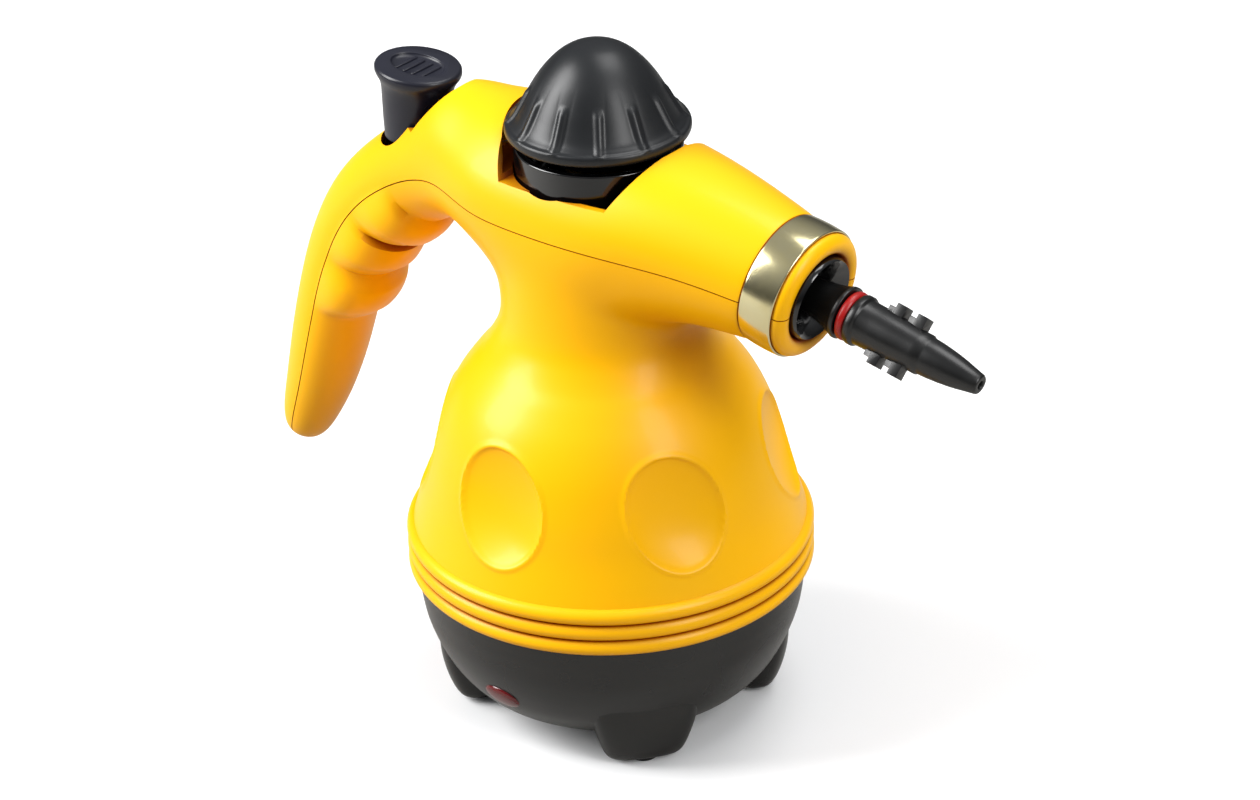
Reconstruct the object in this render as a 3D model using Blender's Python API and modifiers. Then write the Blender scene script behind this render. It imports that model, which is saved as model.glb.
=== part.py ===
"""Hand-held pressurised steam cleaner: body shells, boiler, steam valve, safety cap and electrics.

Every dimension is in millimetres and MM turns it into metres. +X points at the nozzle, +Z up, and
the origin is on the floor under the middle of the object. AXIS_X is the vertical axis of the bell.
"""
import math

import bmesh
import bpy
from mathutils import Matrix, Vector

MM = 0.001
GAP = 0.3  # clearance between touching pieces

# Bell and neck, which are turned about the vertical axis
AXIS_X = 0.0
WALL = 2.2
NECK_RADIUS = 34.0
NECK_TOP = 182.0
BELT_RADIUS = 69.0
BELT_BOTTOM = 53.0
BELT_TOP = 70.4
RIDGES = 3
RIDGE_DEPTH = 2.0
BELL_STEPS = 30

# Horizontal tube that makes the handle, the saddle round the filler and the snout
TUBE_SIDES = 16
SNOUT_TILT = math.radians(11)
SNOUT_ORIGIN = (74.0, 181.0)  # where the trim ring starts, on the snout's axis
SNOUT_RADIUS = 22.6
NOSE_RADIUS = 21.4
NOSE_LENGTH = 16.6
NOSE_HOLE = 14.9
NOZZLE_TIP = 79.4  # along the snout from SNOUT_ORIGIN
FLANGE_FACE = 27.6  # the flat ring that an accessory stops against
FLANGE_LIP = 9.0
RING_WIDTH = 13.0
OPENING_RADIUS = 31.8  # the filler's opening in the saddle
SADDLE_Z = 199.4  # height of the opening's rim at its sides

# Steam button, lever and valve, all in the plane Y = 0
BUTTON_X = -80.0
BUTTON_TRAVEL = 5.0
BUTTON_HOLE = 13.6
RECESS_RADIUS = 17.2  # scooped out of the handle's top so that the button's flared rim can go down
RECESS_X = BUTTON_X + 1.2
RECESS_FLOOR = 199.5
PIVOT_X = -47.0
VALVE_X = -22.0
LEVER_Z = 178.0
LEVER_THICKNESS = 3.0
GUIDE_FLOOR = 184.5

# Boiler and filler
BOILER_RADIUS = 42.0
FLANGE_RADIUS = 47.0
BOILER_BOTTOM = 68.0
FLANGE_Z = 112.0
COVER_TOP = 134.0
FILLER_TOP = 204.0
FILLER_RADIUS = 11.0
FILLER_BORE = 8.2

# Safety cap
CAP_RADIUS = 30.8
CAP_RIM_Z = 213.5
CAP_TOP_Z = 247.0
PLUG_FLANGE_Z = 206.9

# Base
BOWL_WALL = 2.6
BOWL_BOTTOM = 6.6
FOOT_ANGLES = (40, 140, 220, 320)
FOOT_RADIUS = 51.0
SCREW_ANGLES = (18, 162, 198, 342)
SCREW_RADIUS = 55.0

COLOURS = {  # name: (sRGB hex, roughness, metallic)
    "yellow_shell": ("FFCC08", 0.28, 0.0),
    "black_base": ("2A2A28", 0.42, 0.0),
    "black_gloss": ("0B0B0C", 0.15, 0.0),
    "charcoal_cap": ("2B2D30", 0.38, 0.0),
    "button_grey": ("2E2F3A", 0.40, 0.0),
    "chrome": ("D9D2B8", 0.12, 1.0),
    "red_lens": ("7A0005", 0.20, 0.0),
    "red_rubber": ("AA0A0A", 0.45, 0.0),
    "black_rubber": ("151515", 0.75, 0.0),
    "cast_aluminium": ("B4B6B8", 0.45, 1.0),
    "brass": ("C9A24A", 0.30, 1.0),
    "steel": ("A8ABAE", 0.30, 1.0),
    "spring_steel": ("8F9396", 0.28, 1.0),
    "silicone": ("B9C3C4", 0.55, 0.0),
    "white_nylon": ("E4E2DA", 0.50, 0.0),
    "lead_brown": ("5A3A22", 0.50, 0.0),
    "lead_blue": ("2C4F9E", 0.50, 0.0),
    "glass_neon": ("E8B48C", 0.10, 0.0),
    "ceramic": ("D8D3C6", 0.60, 0.0),
}


def clear_scene():
    for obj in list(bpy.data.objects):
        bpy.data.objects.remove(obj, do_unlink=True)


def collection(name):
    made = bpy.data.collections.new(name)
    bpy.context.scene.collection.children.link(made)
    return made


def linear(hex_colour):
    """sRGB hex to the linear values that a Principled BSDF takes."""
    channels = [int(hex_colour[i : i + 2], 16) / 255 for i in (0, 2, 4)]
    return [c / 12.92 if c <= 0.04045 else ((c + 0.055) / 1.055) ** 2.4 for c in channels] + [1.0]


def material(name):
    made = bpy.data.materials.get(name)
    if made:
        return made
    hex_colour, roughness, metallic = COLOURS[name]
    made = bpy.data.materials.new(name)
    made.use_nodes = True
    shader = made.node_tree.nodes["Principled BSDF"]
    shader.inputs["Base Color"].default_value = linear(hex_colour)
    shader.inputs["Roughness"].default_value = roughness
    shader.inputs["Metallic"].default_value = metallic
    return made


def add_object(name, mesh, finish):
    """An object in the parts collection, or a hidden cutter when it has no finish."""
    obj = bpy.data.objects.new(name, mesh)
    if finish:
        mesh.materials.append(material(finish))
        PARTS.objects.link(obj)
    else:
        obj.hide_render = True
        obj.display_type = "WIRE"
        CUTTERS.objects.link(obj)
    return obj


def place(obj, at=(0, 0, 0), turn=(0, 0, 0)):
    obj.location = Vector(at) * MM
    obj.rotation_euler = turn
    return obj


def along_snout(obj):
    """Stands a piece turned about its own Z on the snout's axis, +Z forward."""
    return place(obj, (SNOUT_ORIGIN[0], 0, SNOUT_ORIGIN[1]), (0, math.pi / 2 + SNOUT_TILT, 0))


def turned(name, profile, finish=None, steps=32, ring=False):
    """A solid of revolution about its own Z from (radius, height) points down the outer side."""
    mesh = bpy.data.meshes.new(name)
    points = [(r * MM, 0, z * MM) for r, z in profile]
    edges = [(i, i + 1) for i in range(len(points) - 1)]
    if ring:
        edges.append((len(points) - 1, 0))
    mesh.from_pydata(points, edges, [])
    obj = add_object(name, mesh, finish)
    screw = obj.modifiers.new("Turn", "SCREW")
    screw.steps = steps
    screw.render_steps = steps
    screw.use_merge_vertices = True
    screw.merge_threshold = 0.00001
    screw.use_smooth_shade = True
    return obj


def cylinder(name, radius, low, high, finish=None, steps=20):
    return turned(name, [(0, high), (radius, high), (radius, low), (0, low)], finish, steps)


def tube(name, outer, inner, low, high, finish=None, steps=24):
    profile = [(inner, high), (outer, high), (outer, low), (inner, low)]
    return turned(name, profile, finish, steps, ring=True)


def box(name, size, centre, finish=None, bevel=0.0, turn=0.0):
    """A box with its mesh at its true size; turn rotates it about Z."""
    mesh = bpy.data.meshes.new(name)
    shape = bmesh.new()
    bmesh.ops.create_cube(shape, size=1)
    bmesh.ops.scale(shape, vec=Vector(size) * MM, verts=shape.verts)
    shape.to_mesh(mesh)
    shape.free()
    obj = place(add_object(name, mesh, finish), centre, (0, 0, turn))
    if bevel:
        round_edges(obj, bevel)
    return obj


def round_edges(obj, width, segments=2):
    bevel = obj.modifiers.new("Round edges", "BEVEL")
    bevel.width = width * MM
    bevel.segments = segments
    bevel.limit_method = "ANGLE"


def boolean(obj, other, operation):
    modifier = obj.modifiers.new(f"{operation} {other.name}", "BOOLEAN")
    modifier.operation = operation
    modifier.object = other
    modifier.solver = "EXACT"
    return obj


def cut(obj, *others):
    for other in others:
        boolean(obj, other, "DIFFERENCE")
    return obj


def join(obj, *others):
    for other in others:
        boolean(obj, other, "UNION")
    return obj


def loft(name, rings, finish=None):
    """A closed solid through rings of equally many points, with its two ends filled."""
    mesh = bpy.data.meshes.new(name)
    shape = bmesh.new()
    rows = [[shape.verts.new(Vector(p) * MM) for p in ring] for ring in rings]
    count = len(rows[0])
    for row, after in zip(rows, rows[1:]):
        for k in range(count):
            shape.faces.new((row[k], row[(k + 1) % count], after[(k + 1) % count], after[k]))
    shape.faces.new(rows[0])
    shape.faces.new(rows[-1])
    bmesh.ops.recalc_face_normals(shape, faces=shape.faces)
    shape.to_mesh(mesh)
    shape.free()
    mesh.shade_smooth()
    return add_object(name, mesh, finish)


def wire(name, points, radius, finish, sides=2):
    """A round wire or pipe through points, as a curve with filled caps."""
    curve = bpy.data.curves.new(name, "CURVE")
    curve.dimensions = "3D"
    curve.bevel_depth = radius * MM
    curve.bevel_resolution = sides
    curve.use_fill_caps = True
    spline = curve.splines.new("POLY")
    spline.points.add(len(points) - 1)
    for knot, point in zip(spline.points, points):
        knot.co = (*(Vector(point) * MM), 1)
    curve.materials.append(material(finish))
    obj = bpy.data.objects.new(name, curve)
    PARTS.objects.link(obj)
    return obj


def helix(centre, radius, low, high, turns, per_turn=6):
    """Points along a compression spring whose axis is vertical."""
    count = turns * per_turn
    points = []
    for i in range(count + 1):
        angle = 2 * math.pi * i / per_turn
        height = low + (high - low) * i / count
        points.append((centre[0] + radius * math.cos(angle), centre[1] + radius * math.sin(angle), height))
    return points


def smooth_route(knots, per_span=5):
    """A Catmull-Rom curve through a few knots, as points."""
    knots = [Vector(k) for k in knots]
    ends = [2 * knots[0] - knots[1], *knots, 2 * knots[-1] - knots[-2]]
    points = []
    for a, b, c, d in zip(ends, ends[1:], ends[2:], ends[3:]):
        for i in range(per_span):
            t = i / per_span
            square = 2 * a - 5 * b + 4 * c - d
            cube = 3 * b - a - 3 * c + d
            points.append(0.5 * (2 * b + (c - a) * t + square * t**2 + cube * t**3))
    return points + [knots[-1]]


def polar(radius, degrees, height=0.0):
    angle = math.radians(degrees)
    return (AXIS_X + radius * math.cos(angle), radius * math.sin(angle), height)


# --- body shells -------------------------------------------------------------------------------


def handle_stations():
    """(x, z, half width, height above, depth below) from the handle's free tip to the snout."""
    return [
        (-146.5, 54.6, 3.5, 3.5, 3.5),
        (-145.6, 56.4, 7.2, 7.0, 7.0),
        (-144.0, 60.0, 9.2, 9.2, 9.0),
        (-141.0, 67.0, 10.8, 11.0, 10.6),
        (-135.2, 79.5, 12.8, 13.2, 12.8),
        (-129.0, 96.0, 14.6, 15.2, 15.0),
        (-124.6, 109.0, 15.2, 16.0, 16.2),
        (-120.6, 122.0, 15.4, 16.2, 15.4),
        (-116.0, 135.0, 15.5, 16.4, 17.0),
        (-110.0, 148.0, 15.6, 16.6, 15.8),
        (-102.6, 159.6, 15.8, 16.8, 17.2),
        (-93.0, 169.4, 16.2, 17.0, 16.4),
        (-81.0, 178.0, 17.0, 17.8, 17.2),
        (-69.0, 184.0, 18.6, 19.6, 18.0),
        (-57.0, 187.2, 21.5, 28.4, 20.0),
        (-46.0, 188.0, 26.0, 28.6, 23.0),
        (-34.0, 187.6, 31.0, 30.4, 27.5),
        (-18.0, 187.2, 33.4, 31.6, 30.5),
        (0.0, 187.0, 34.0, 31.0, 31.0),
        (18.0, 187.2, 33.4, 29.0, 30.5),
        (34.0, 187.4, 31.0, 26.4, 28.5),
        (54.0, 184.9, 26.6, 24.6, 26.0),
        (SNOUT_ORIGIN[0], SNOUT_ORIGIN[1], SNOUT_RADIUS, SNOUT_RADIUS, SNOUT_RADIUS),
    ]


def station_ring(centre, tangent, width, above, below):
    """Points round one cross-section of the tube, which is half an oval above and half below."""
    normal = Vector((-tangent.z, 0, tangent.x))
    ring = []
    for k in range(TUBE_SIDES):
        angle = 2 * math.pi * k / TUBE_SIDES
        rise = math.sin(angle) * (above if math.sin(angle) > 0 else below)
        ring.append(centre + Vector((0, width * math.cos(angle), 0)) + normal * rise)
    return ring


def tube_rings(inset):
    """Cross-sections of the handle and snout, drawn in by inset from the outside."""
    stations = handle_stations()
    if inset:
        stations = stations[2:]
    centres = [Vector((x, 0, z)) for x, z, *_ in stations]
    forward = Vector((math.cos(SNOUT_TILT), 0, -math.sin(SNOUT_TILT)))
    rings = []
    for i, (_, _, width, above, below) in enumerate(stations):
        before, after = centres[max(i - 1, 0)], centres[min(i + 1, len(centres) - 1)]
        tangent = (after - before).normalized() if i < len(centres) - 1 else forward
        rings.append(station_ring(centres[i], tangent, width - inset, above - inset, below - inset))
    front = centres[-1]
    if inset:
        nose = [(RING_WIDTH - 2.0, NOSE_RADIUS - WALL)]
    else:
        nose = [
            (0.15, NOSE_RADIUS),
            (RING_WIDTH, NOSE_RADIUS),
            (NOSE_LENGTH - 1.2, NOSE_RADIUS - 0.7),
            (NOSE_LENGTH - 0.3, NOSE_RADIUS - 2.0),
            (NOSE_LENGTH, NOSE_RADIUS - 3.8),
        ]
    for ahead, radius in nose:
        rings.append(station_ring(front + forward * ahead, forward, radius, radius, radius))
    return rings


def belt_profile():
    """The three moulded ridges round the bottom of the bell, top to bottom."""
    pitch = (BELT_TOP - BELT_BOTTOM) / RIDGES
    points = []
    for i in range(RIDGES):
        for share in (0.1, 0.5, 0.9):
            bulge = RIDGE_DEPTH * math.sin(math.pi * share)
            points.append((BELT_RADIUS + bulge, BELT_TOP - pitch * (i + share)))
    return points


def bell_outline():
    """The neck and the bell down to the crease above the belt."""
    return [
        (NECK_RADIUS, NECK_TOP),
        (NECK_RADIUS, 156),
        (NECK_RADIUS + 0.6, 149),
        (NECK_RADIUS + 2.6, 142.5),
        (NECK_RADIUS + 6.6, 136),
        (45.6, 130),
        (51.6, 121.5),
        (56.6, 111),
        (60.6, 98),
        (63.8, 85),
        (66.8, 75),
        (68.2, BELT_TOP),
    ]


def bell_solid(name, finish=None):
    rim = [(BELT_RADIUS, BELT_BOTTOM), (0, BELT_BOTTOM)]
    profile = [(0, NECK_TOP), *bell_outline(), *belt_profile(), *rim]
    return place(turned(name, profile, finish, steps=BELL_STEPS), (AXIS_X, 0, 0))


def bell_hollow():
    inside = [(r - WALL, z) for r, z in bell_outline()[::2]]
    inside[0] = (NECK_RADIUS - WALL, NECK_TOP + 1)
    last = BELT_RADIUS - WALL
    low = BELT_BOTTOM - 2
    profile = [(0, NECK_TOP + 1), *inside, (last, BELT_TOP - 3), (last, low), (0, low)]
    return place(turned("bell_hollow", profile, steps=BELL_STEPS), (AXIS_X, 0, 0))


def seam_region(name, shift):
    """The space outside the handle's and above the snout's middle line, as a wide slab."""
    line = [(x, z) for x, z, *_ in handle_stations()]
    ahead = 40
    forward, down = ahead * math.cos(SNOUT_TILT), ahead * math.sin(SNOUT_TILT)
    nose_end = (SNOUT_ORIGIN[0] + forward, SNOUT_ORIGIN[1] - down)
    below_tip = (line[0][0] - 6, line[0][1] - 14)
    line = [below_tip, *line, nose_end]
    shifted = []
    for i, point in enumerate(line):
        before, after = Vector(line[max(i - 1, 0)]), Vector(line[min(i + 1, len(line) - 1)])
        tangent = (after - before).normalized()
        shifted.append((point[0] - tangent.y * shift, point[1] + tangent.x * shift))
    outline = shifted + [(shifted[-1][0], 270), (-200, 270), (-200, shifted[0][1])]
    return loft(name, [[(x, side, z) for x, z in outline] for side in (-60, 60)])


def saddle_cutter():
    """The low waist of the opening between the sloping end walls of the handle and the snout."""
    outline = [(-18.6, SADDLE_Z), (24.6, SADDLE_Z), (33.0, 217), (33.0, 240), (-28.0, 240), (-28.0, 217)]
    return loft("saddle_cutter", [[(x, side, z) for x, z in outline] for side in (-60, 60)])


def shell_cutters():
    nose_hole = along_snout(cylinder("nose_hole_cutter", NOSE_HOLE, 2, 30, steps=24))
    opening = place(cylinder("opening_cutter", OPENING_RADIUS, NECK_TOP - 1, 240, steps=32), (AXIS_X, 0, 0))
    button_hole = place(cylinder("button_hole_cutter", BUTTON_HOLE, 183.5, 230, steps=20), (BUTTON_X, 0, 0))
    scoop = [(0, 232), (24, 232), (22.4, 217), (19.8, 210), (RECESS_RADIUS, 204), (RECESS_RADIUS, RECESS_FLOOR)]
    recess = turned("button_recess_cutter", [*scoop, (0, RECESS_FLOOR)], steps=24)
    place(recess, (RECESS_X, 0, 0))
    return nose_hole, opening, button_hole, recess


def shell_boss(angle):
    """A pillar on the bell's inner wall that takes one base screw, with the rib that holds it."""
    x, y, _ = polar(SCREW_RADIUS, angle)
    name = f"shell_boss_{angle}"
    pillar = place(cylinder(name, 4.6, 56.5, 86, steps=8), (x, y, 0))
    rib_x, rib_y, _ = polar(SCREW_RADIUS + 5, angle)
    rib = box(f"shell_rib_{angle}", (10.2, 3, 16), (rib_x, rib_y, 70), turn=math.radians(angle))
    return join(pillar, rib)


def screw_hole(name, angle, low, high, radius=2.0):
    x, y, _ = polar(SCREW_RADIUS, angle)
    return place(cylinder(name, radius, low, high, steps=8), (x, y, 0))


def body_shells():
    """The two moulded yellow shells, which meet along the handle's and snout's middle line."""
    tube_outer = loft("tube_outer", tube_rings(0))
    tube_inner = loft("tube_inner", tube_rings(WALL))
    bell_inner = bell_hollow()
    nose_hole, opening, button_hole, recess = shell_cutters()
    bosses = [shell_boss(angle) for angle in SCREW_ANGLES]
    holes = [screw_hole(f"shell_screw_hole_{angle}", angle, 50, 82) for angle in SCREW_ANGLES]

    body = bell_solid("body_shell", "yellow_shell")
    join(body, tube_outer)
    cut(body, bell_inner, tube_inner)
    join(body, *bosses)
    cut(body, *holes, nose_hole, opening, seam_region("above_seam", -GAP / 2))

    cover = loft("top_cover", tube_rings(0), "yellow_shell")
    cut(cover, tube_inner, nose_hole, opening, saddle_cutter(), button_hole, recess)
    boolean(cover, seam_region("above_seam_cover", GAP / 2), "INTERSECT")


# --- snout and nozzle --------------------------------------------------------------------------


def trim_ring():
    outer, inner = SNOUT_RADIUS, NOSE_RADIUS + GAP
    profile = [
        (inner, RING_WIDTH),
        (outer - 0.4, RING_WIDTH),
        (outer, RING_WIDTH - 0.5),
        (outer, 0.9),
        (outer - 0.4, 0.5),
        (inner, 0.5),
    ]
    along_snout(turned("snout_ring", profile, "chrome", steps=28, ring=True))


def nozzle_socket():
    """The black trumpet in the snout's mouth that carries the nozzle."""
    hole = NOSE_HOLE - GAP
    profile = [
        (12.2, NOSE_LENGTH + 0.4),
        (13.6, NOSE_LENGTH + 0.9),
        (hole, NOSE_LENGTH - 0.2),
        (hole, 10.6),
        (hole + 2.6, 10.6),
        (hole + 2.6, 8.6),
        (11, 8.6),
        (8.5, -10),
        (6.3, -10),
        (6.3, 6),
        (8.4, 9.5),
    ]
    along_snout(turned("nozzle_socket", profile, "black_gloss", steps=20, ring=True))


def bayonet_lugs():
    """Two pairs of lugs that hold the accessories on the nozzle."""
    lugs = []
    for row, along in enumerate((43.5, 51.5)):
        for side in (0, 1):
            lug = box(f"nozzle_lug_{row}_{side}", (4.2, 5.5, 4.4), (0, 0, 0), bevel=0.5)
            axis = Matrix.Rotation(math.pi / 2 + SNOUT_TILT, 4, "Y")
            angle = math.pi * side + math.radians(20 + 25 * row)
            offset = axis @ Vector((8.2 * math.cos(angle), 8.2 * math.sin(angle), along))
            matrix = Matrix.Translation(Vector((SNOUT_ORIGIN[0], 0, SNOUT_ORIGIN[1])) + offset)
            lug.matrix_world = matrix_in_metres(matrix @ axis @ Matrix.Rotation(angle, 4, "Z"))
            lugs.append(lug)
    return lugs


def matrix_in_metres(matrix):
    made = matrix.copy()
    made.translation *= MM
    return made


def nozzle():
    """The steam nozzle: root in the socket, flange, O-ring groove, body with lugs and jet tip."""
    profile = [
        (1.1, NOZZLE_TIP),
        (2.7, NOZZLE_TIP),
        (3.4, NOZZLE_TIP - 1.5),
        (5.6, 62),
        (5.8, 58.5),
        (6.8, 58),
        (6.8, 55.5),
        (7.6, 40),
        (7.6, 31.5),
        (7.2, 31),
        (6.2, 31),
        (6.2, FLANGE_FACE),
        (FLANGE_LIP, FLANGE_FACE),
        (FLANGE_LIP, 25.6),
        (6, 25),
        (6, -12),
        (3, -12),
        (3, 60),
        (1.1, 66),
    ]
    made = turned("nozzle", profile, "black_gloss", steps=16, ring=True)
    along_snout(made)
    join(made, *bayonet_lugs())
    ring = [(6.5, 30.6), (7.6, 30.6), (8.3, 29.9), (8.3, 28.6), (7.6, 27.9), (6.5, 27.9)]
    along_snout(turned("nozzle_o_ring", ring, "red_rubber", steps=18, ring=True))


# --- base --------------------------------------------------------------------------------------


def bowl_outline():
    return [
        (67.8, BELT_BOTTOM - GAP),
        (67.2, 45),
        (65.6, 36),
        (62.4, 27),
        (57.8, 18.5),
        (51.0, 11),
        (43.0, 7.6),
        (30.0, BOWL_BOTTOM),
    ]


def bowl_profile():
    outer = bowl_outline()
    inner = [(r - BOWL_WALL, z + 0.8) for r, z in outer[1:-1]]
    lip = BELT_RADIUS - WALL - GAP
    rim = [(lip - 1.8, 58.5), (lip, 58.5), (lip, BELT_BOTTOM - GAP)]
    floor = BOWL_BOTTOM + BOWL_WALL
    return [(0, floor), (28, floor), *reversed(inner), *rim, *outer, (0, BOWL_BOTTOM)]


def foot(angle):
    """A tongue-shaped foot that runs down the bowl's side."""
    sections = [  # half width, outer radius, inner radius, height
        (14.5, 62.6, 46, 29.0),
        (16.5, 61.6, 44, 20.0),
        (15.2, 59.4, 42, 10.0),
        (13.4, 57.4, 42, 1.9),
    ]
    swing = Matrix.Rotation(math.radians(angle), 3, "Z")
    rings = []
    for half_width, outer, inner, height in sections:
        ring = []
        for k in range(12):
            turn = 2 * math.pi * k / 12
            radial = (outer + inner) / 2 + math.cos(turn) * (outer - inner) / 2
            ring.append(swing @ Vector((radial, half_width * math.sin(turn), height)))
        rings.append([point + Vector((AXIS_X, 0, 0)) for point in ring])
    return loft(f"foot_{angle}", list(reversed(rings)))


def base():
    bowl = place(turned("base_bowl", bowl_profile(), "black_base", steps=BELL_STEPS), (AXIS_X, 0, 0))
    feet = [foot(angle) for angle in FOOT_ANGLES]
    inside = [(r - BOWL_WALL / 2, z + 0.4) for r, z in bowl_outline()]
    hollow_profile = [(0, 60), (inside[0][0], 60), *inside[1:], (0, BOWL_BOTTOM + BOWL_WALL / 2)]
    hollow = place(turned("bowl_hollow", hollow_profile, steps=BELL_STEPS), (AXIS_X, 0, 0))
    for made in feet:
        cut(made, hollow)
    join(bowl, *feet)
    for angle in SCREW_ANGLES:
        x, y, _ = polar(SCREW_RADIUS, angle)
        join(bowl, place(cylinder(f"bowl_pillar_{angle}", 5.4, 22.5, 55.8, steps=10), (x, y, 0)))
    for angle in SCREW_ANGLES:
        cut(bowl, screw_hole(f"bowl_screw_hole_{angle}", angle, 5, 60))
        cut(bowl, screw_hole(f"bowl_head_hole_{angle}", angle, 5, 29, radius=3.8))
    lens = place(cylinder("lens_hole", 1, -6, 14, steps=24), (AXIS_X, -60, 24), (math.pi / 2, 0, 0))
    lens.scale = (7.4, 5.0, 1)
    gland = place(cylinder("gland_hole", 5.6, -14, 14, steps=16), (AXIS_X - 62, 0, 33), (0, math.pi / 2, 0))
    cut(bowl, lens, gland)
    for i, angle in enumerate(FOOT_ANGLES, 1):
        x, y, _ = polar(FOOT_RADIUS - 1.8, angle)
        pad = cylinder(f"foot_pad_{i}", 5.2, 0, 1.6, "black_rubber", steps=16)
        place(pad, (x, y, 0))
    for i, angle in enumerate(SCREW_ANGLES, 1):
        long_screw(f"base_screw_{i}", polar(SCREW_RADIUS, angle), 26.2, 28.7, 74)


def long_screw(name, at, head_low, head_high, tip):
    shank = [(0, tip), (1.2, tip), (1.7, tip - 2), (1.7, head_high)]
    profile = [*shank, (3.4, head_high), (3.4, head_low), (0, head_low)]
    return place(turned(name, profile, "steel", steps=8), (at[0], at[1], 0))


def indicator():
    """The oval red window in the bowl's side and the neon lamp behind it."""
    lens = cylinder("indicator_lens", 1, 0, 3.4, "red_lens", steps=24)
    place(lens, (AXIS_X, -57.6, 24), (math.pi / 2, 0, 0))
    lens.scale = (7.0, 4.6, 1)
    lamp = cylinder("indicator_lamp", 2.6, 0, 12, "glass_neon", steps=10)
    place(lamp, (AXIS_X, -42, 24), (math.pi / 2, 0, 0))


def cord_gland():
    profile = [(3.0, 9), (4.8, 9), (5.2, 0.5), (7.5, 0.3), (7.5, -1.6), (5.2, -1.8), (5.2, -9), (3.0, -9)]
    made = turned("cord_gland", profile, "black_rubber", steps=20, ring=True)
    place(made, (AXIS_X - 68.2, 0, 33), (0, -math.pi / 2, 0))


# --- boiler ------------------------------------------------------------------------------------


def boiler():
    body = [
        (0, BOILER_BOTTOM + 3),
        (BOILER_RADIUS - 6, BOILER_BOTTOM + 3),
        (BOILER_RADIUS - 3, BOILER_BOTTOM + 7),
        (BOILER_RADIUS - 3, FLANGE_Z),
        (FLANGE_RADIUS, FLANGE_Z),
        (FLANGE_RADIUS, FLANGE_Z - 3),
        (BOILER_RADIUS, FLANGE_Z - 4),
        (BOILER_RADIUS, BOILER_BOTTOM + 6),
        (BOILER_RADIUS - 4, BOILER_BOTTOM),
        (0, BOILER_BOTTOM),
    ]
    body = place(turned("boiler_body", body, "cast_aluminium", steps=24), (AXIS_X, 0, 0))
    low = FLANGE_Z + 1.6
    cover = [
        (0, COVER_TOP),
        (26, COVER_TOP),
        (37, COVER_TOP - 6),
        (41, low + 3),
        (FLANGE_RADIUS, low + 3),
        (FLANGE_RADIUS, low),
        (38, low),
        (34, low + 6),
        (25, COVER_TOP - 4),
        (0, COVER_TOP - 4),
    ]
    cover = place(turned("boiler_cover", cover, "cast_aluminium", steps=24), (AXIS_X, 0, 0))
    filler_hole = place(cylinder("filler_hole", FILLER_RADIUS - 2.6, 120, 140), (AXIS_X, 0, 0))
    valve_hole = place(cylinder("valve_hole", 4.0, 120, 140, steps=16), (VALVE_X, 0, 0))
    relief_hole = place(cylinder("relief_hole", 3.0, 120, 140, steps=16), (AXIS_X + 20, 0, 0))
    cut(cover, filler_hole, valve_hole, relief_hole)
    for i in range(4):
        x, y, _ = polar(FLANGE_RADIUS - 2.6, 45 + 90 * i)
        hole = place(cylinder(f"boiler_screw_hole_{i}", 1.8, 108, 130, steps=8), (x, y, 0))
        cut(body, hole)
        cut(cover, hole)
        profile = [
            (0, low + 6.6),
            (2.9, low + 6.6),
            (2.9, low + 3.4),
            (1.5, low + 3.4),
            (1.5, FLANGE_Z - 3.6),
            (0, FLANGE_Z - 3.6),
        ]
        place(turned(f"boiler_screw_{i + 1}", profile, "steel", steps=8), (x, y, 0))
    gasket = tube("boiler_gasket", 41.2, 39.2, FLANGE_Z + 0.3, low - 0.3, "silicone", steps=24)
    place(gasket, (AXIS_X, 0, 0))


def filler():
    profile = [
        (FILLER_BORE, FILLER_TOP),
        (FILLER_RADIUS, FILLER_TOP),
        (FILLER_RADIUS, COVER_TOP + 6),
        (12.4, COVER_TOP + 4.5),
        (12.4, COVER_TOP + 1.6),
        (FILLER_BORE, COVER_TOP + 1.6),
    ]
    place(turned("filler_neck", profile, "brass", steps=20, ring=True), (AXIS_X, 0, 0))
    seal = tube("filler_gasket", 12.0, 9.0, COVER_TOP + 0.3, COVER_TOP + 1.3, "silicone", steps=20)
    place(seal, (AXIS_X, 0, 0))
    collar = [
        (25.5, 209.5),
        (27.4, 209.5),
        (28.2, 208.6),
        (28.2, 194),
        (31.2, 192.5),
        (31.2, 189.2),
        (FILLER_RADIUS + 0.6, 189.2),
        (FILLER_RADIUS + 0.6, 192.4),
        (24, 193),
        (25.5, 195),
    ]
    place(turned("filler_collar", collar, "black_gloss", steps=28, ring=True), (AXIS_X, 0, 0))


def heater():
    """Sheathed ring element, thermostat and thermal fuse under the boiler, and the cradle."""
    arc = []
    for i in range(19):
        angle = math.radians(20 + 320 * i / 18)
        arc.append((AXIS_X + 29 * math.cos(angle), 29 * math.sin(angle), 63.6))
    first, last = arc[0], arc[-1]
    arc = [(first[0], first[1], 52), *arc, (last[0], last[1], 52)]
    wire("heating_element", arc, 3.4, "steel")
    place(cylinder("thermostat", 8.0, 58.5, 67.6, "ceramic", steps=20), (AXIS_X, 0, 0))
    box("thermal_fuse", (16, 5.0, 5.0), (AXIS_X, 18, 64.6), "white_nylon", bevel=0.8)
    outer = [(41.4, 72.5), (44.0, 72.5), (44.0, 63), (50.0, 61)]
    profile = [*outer, (50.0, 59), (38, 59), (38, 61), (41.4, 63)]
    cradle = place(turned("boiler_cradle", profile, "steel", steps=24, ring=True), (AXIS_X, 0, 0))
    hole = place(cylinder("cradle_window", 4, 30, 60, steps=8), (AXIS_X, 0, 67.5), (0, math.pi / 2, 0))
    cut(cradle, hole)


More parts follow.
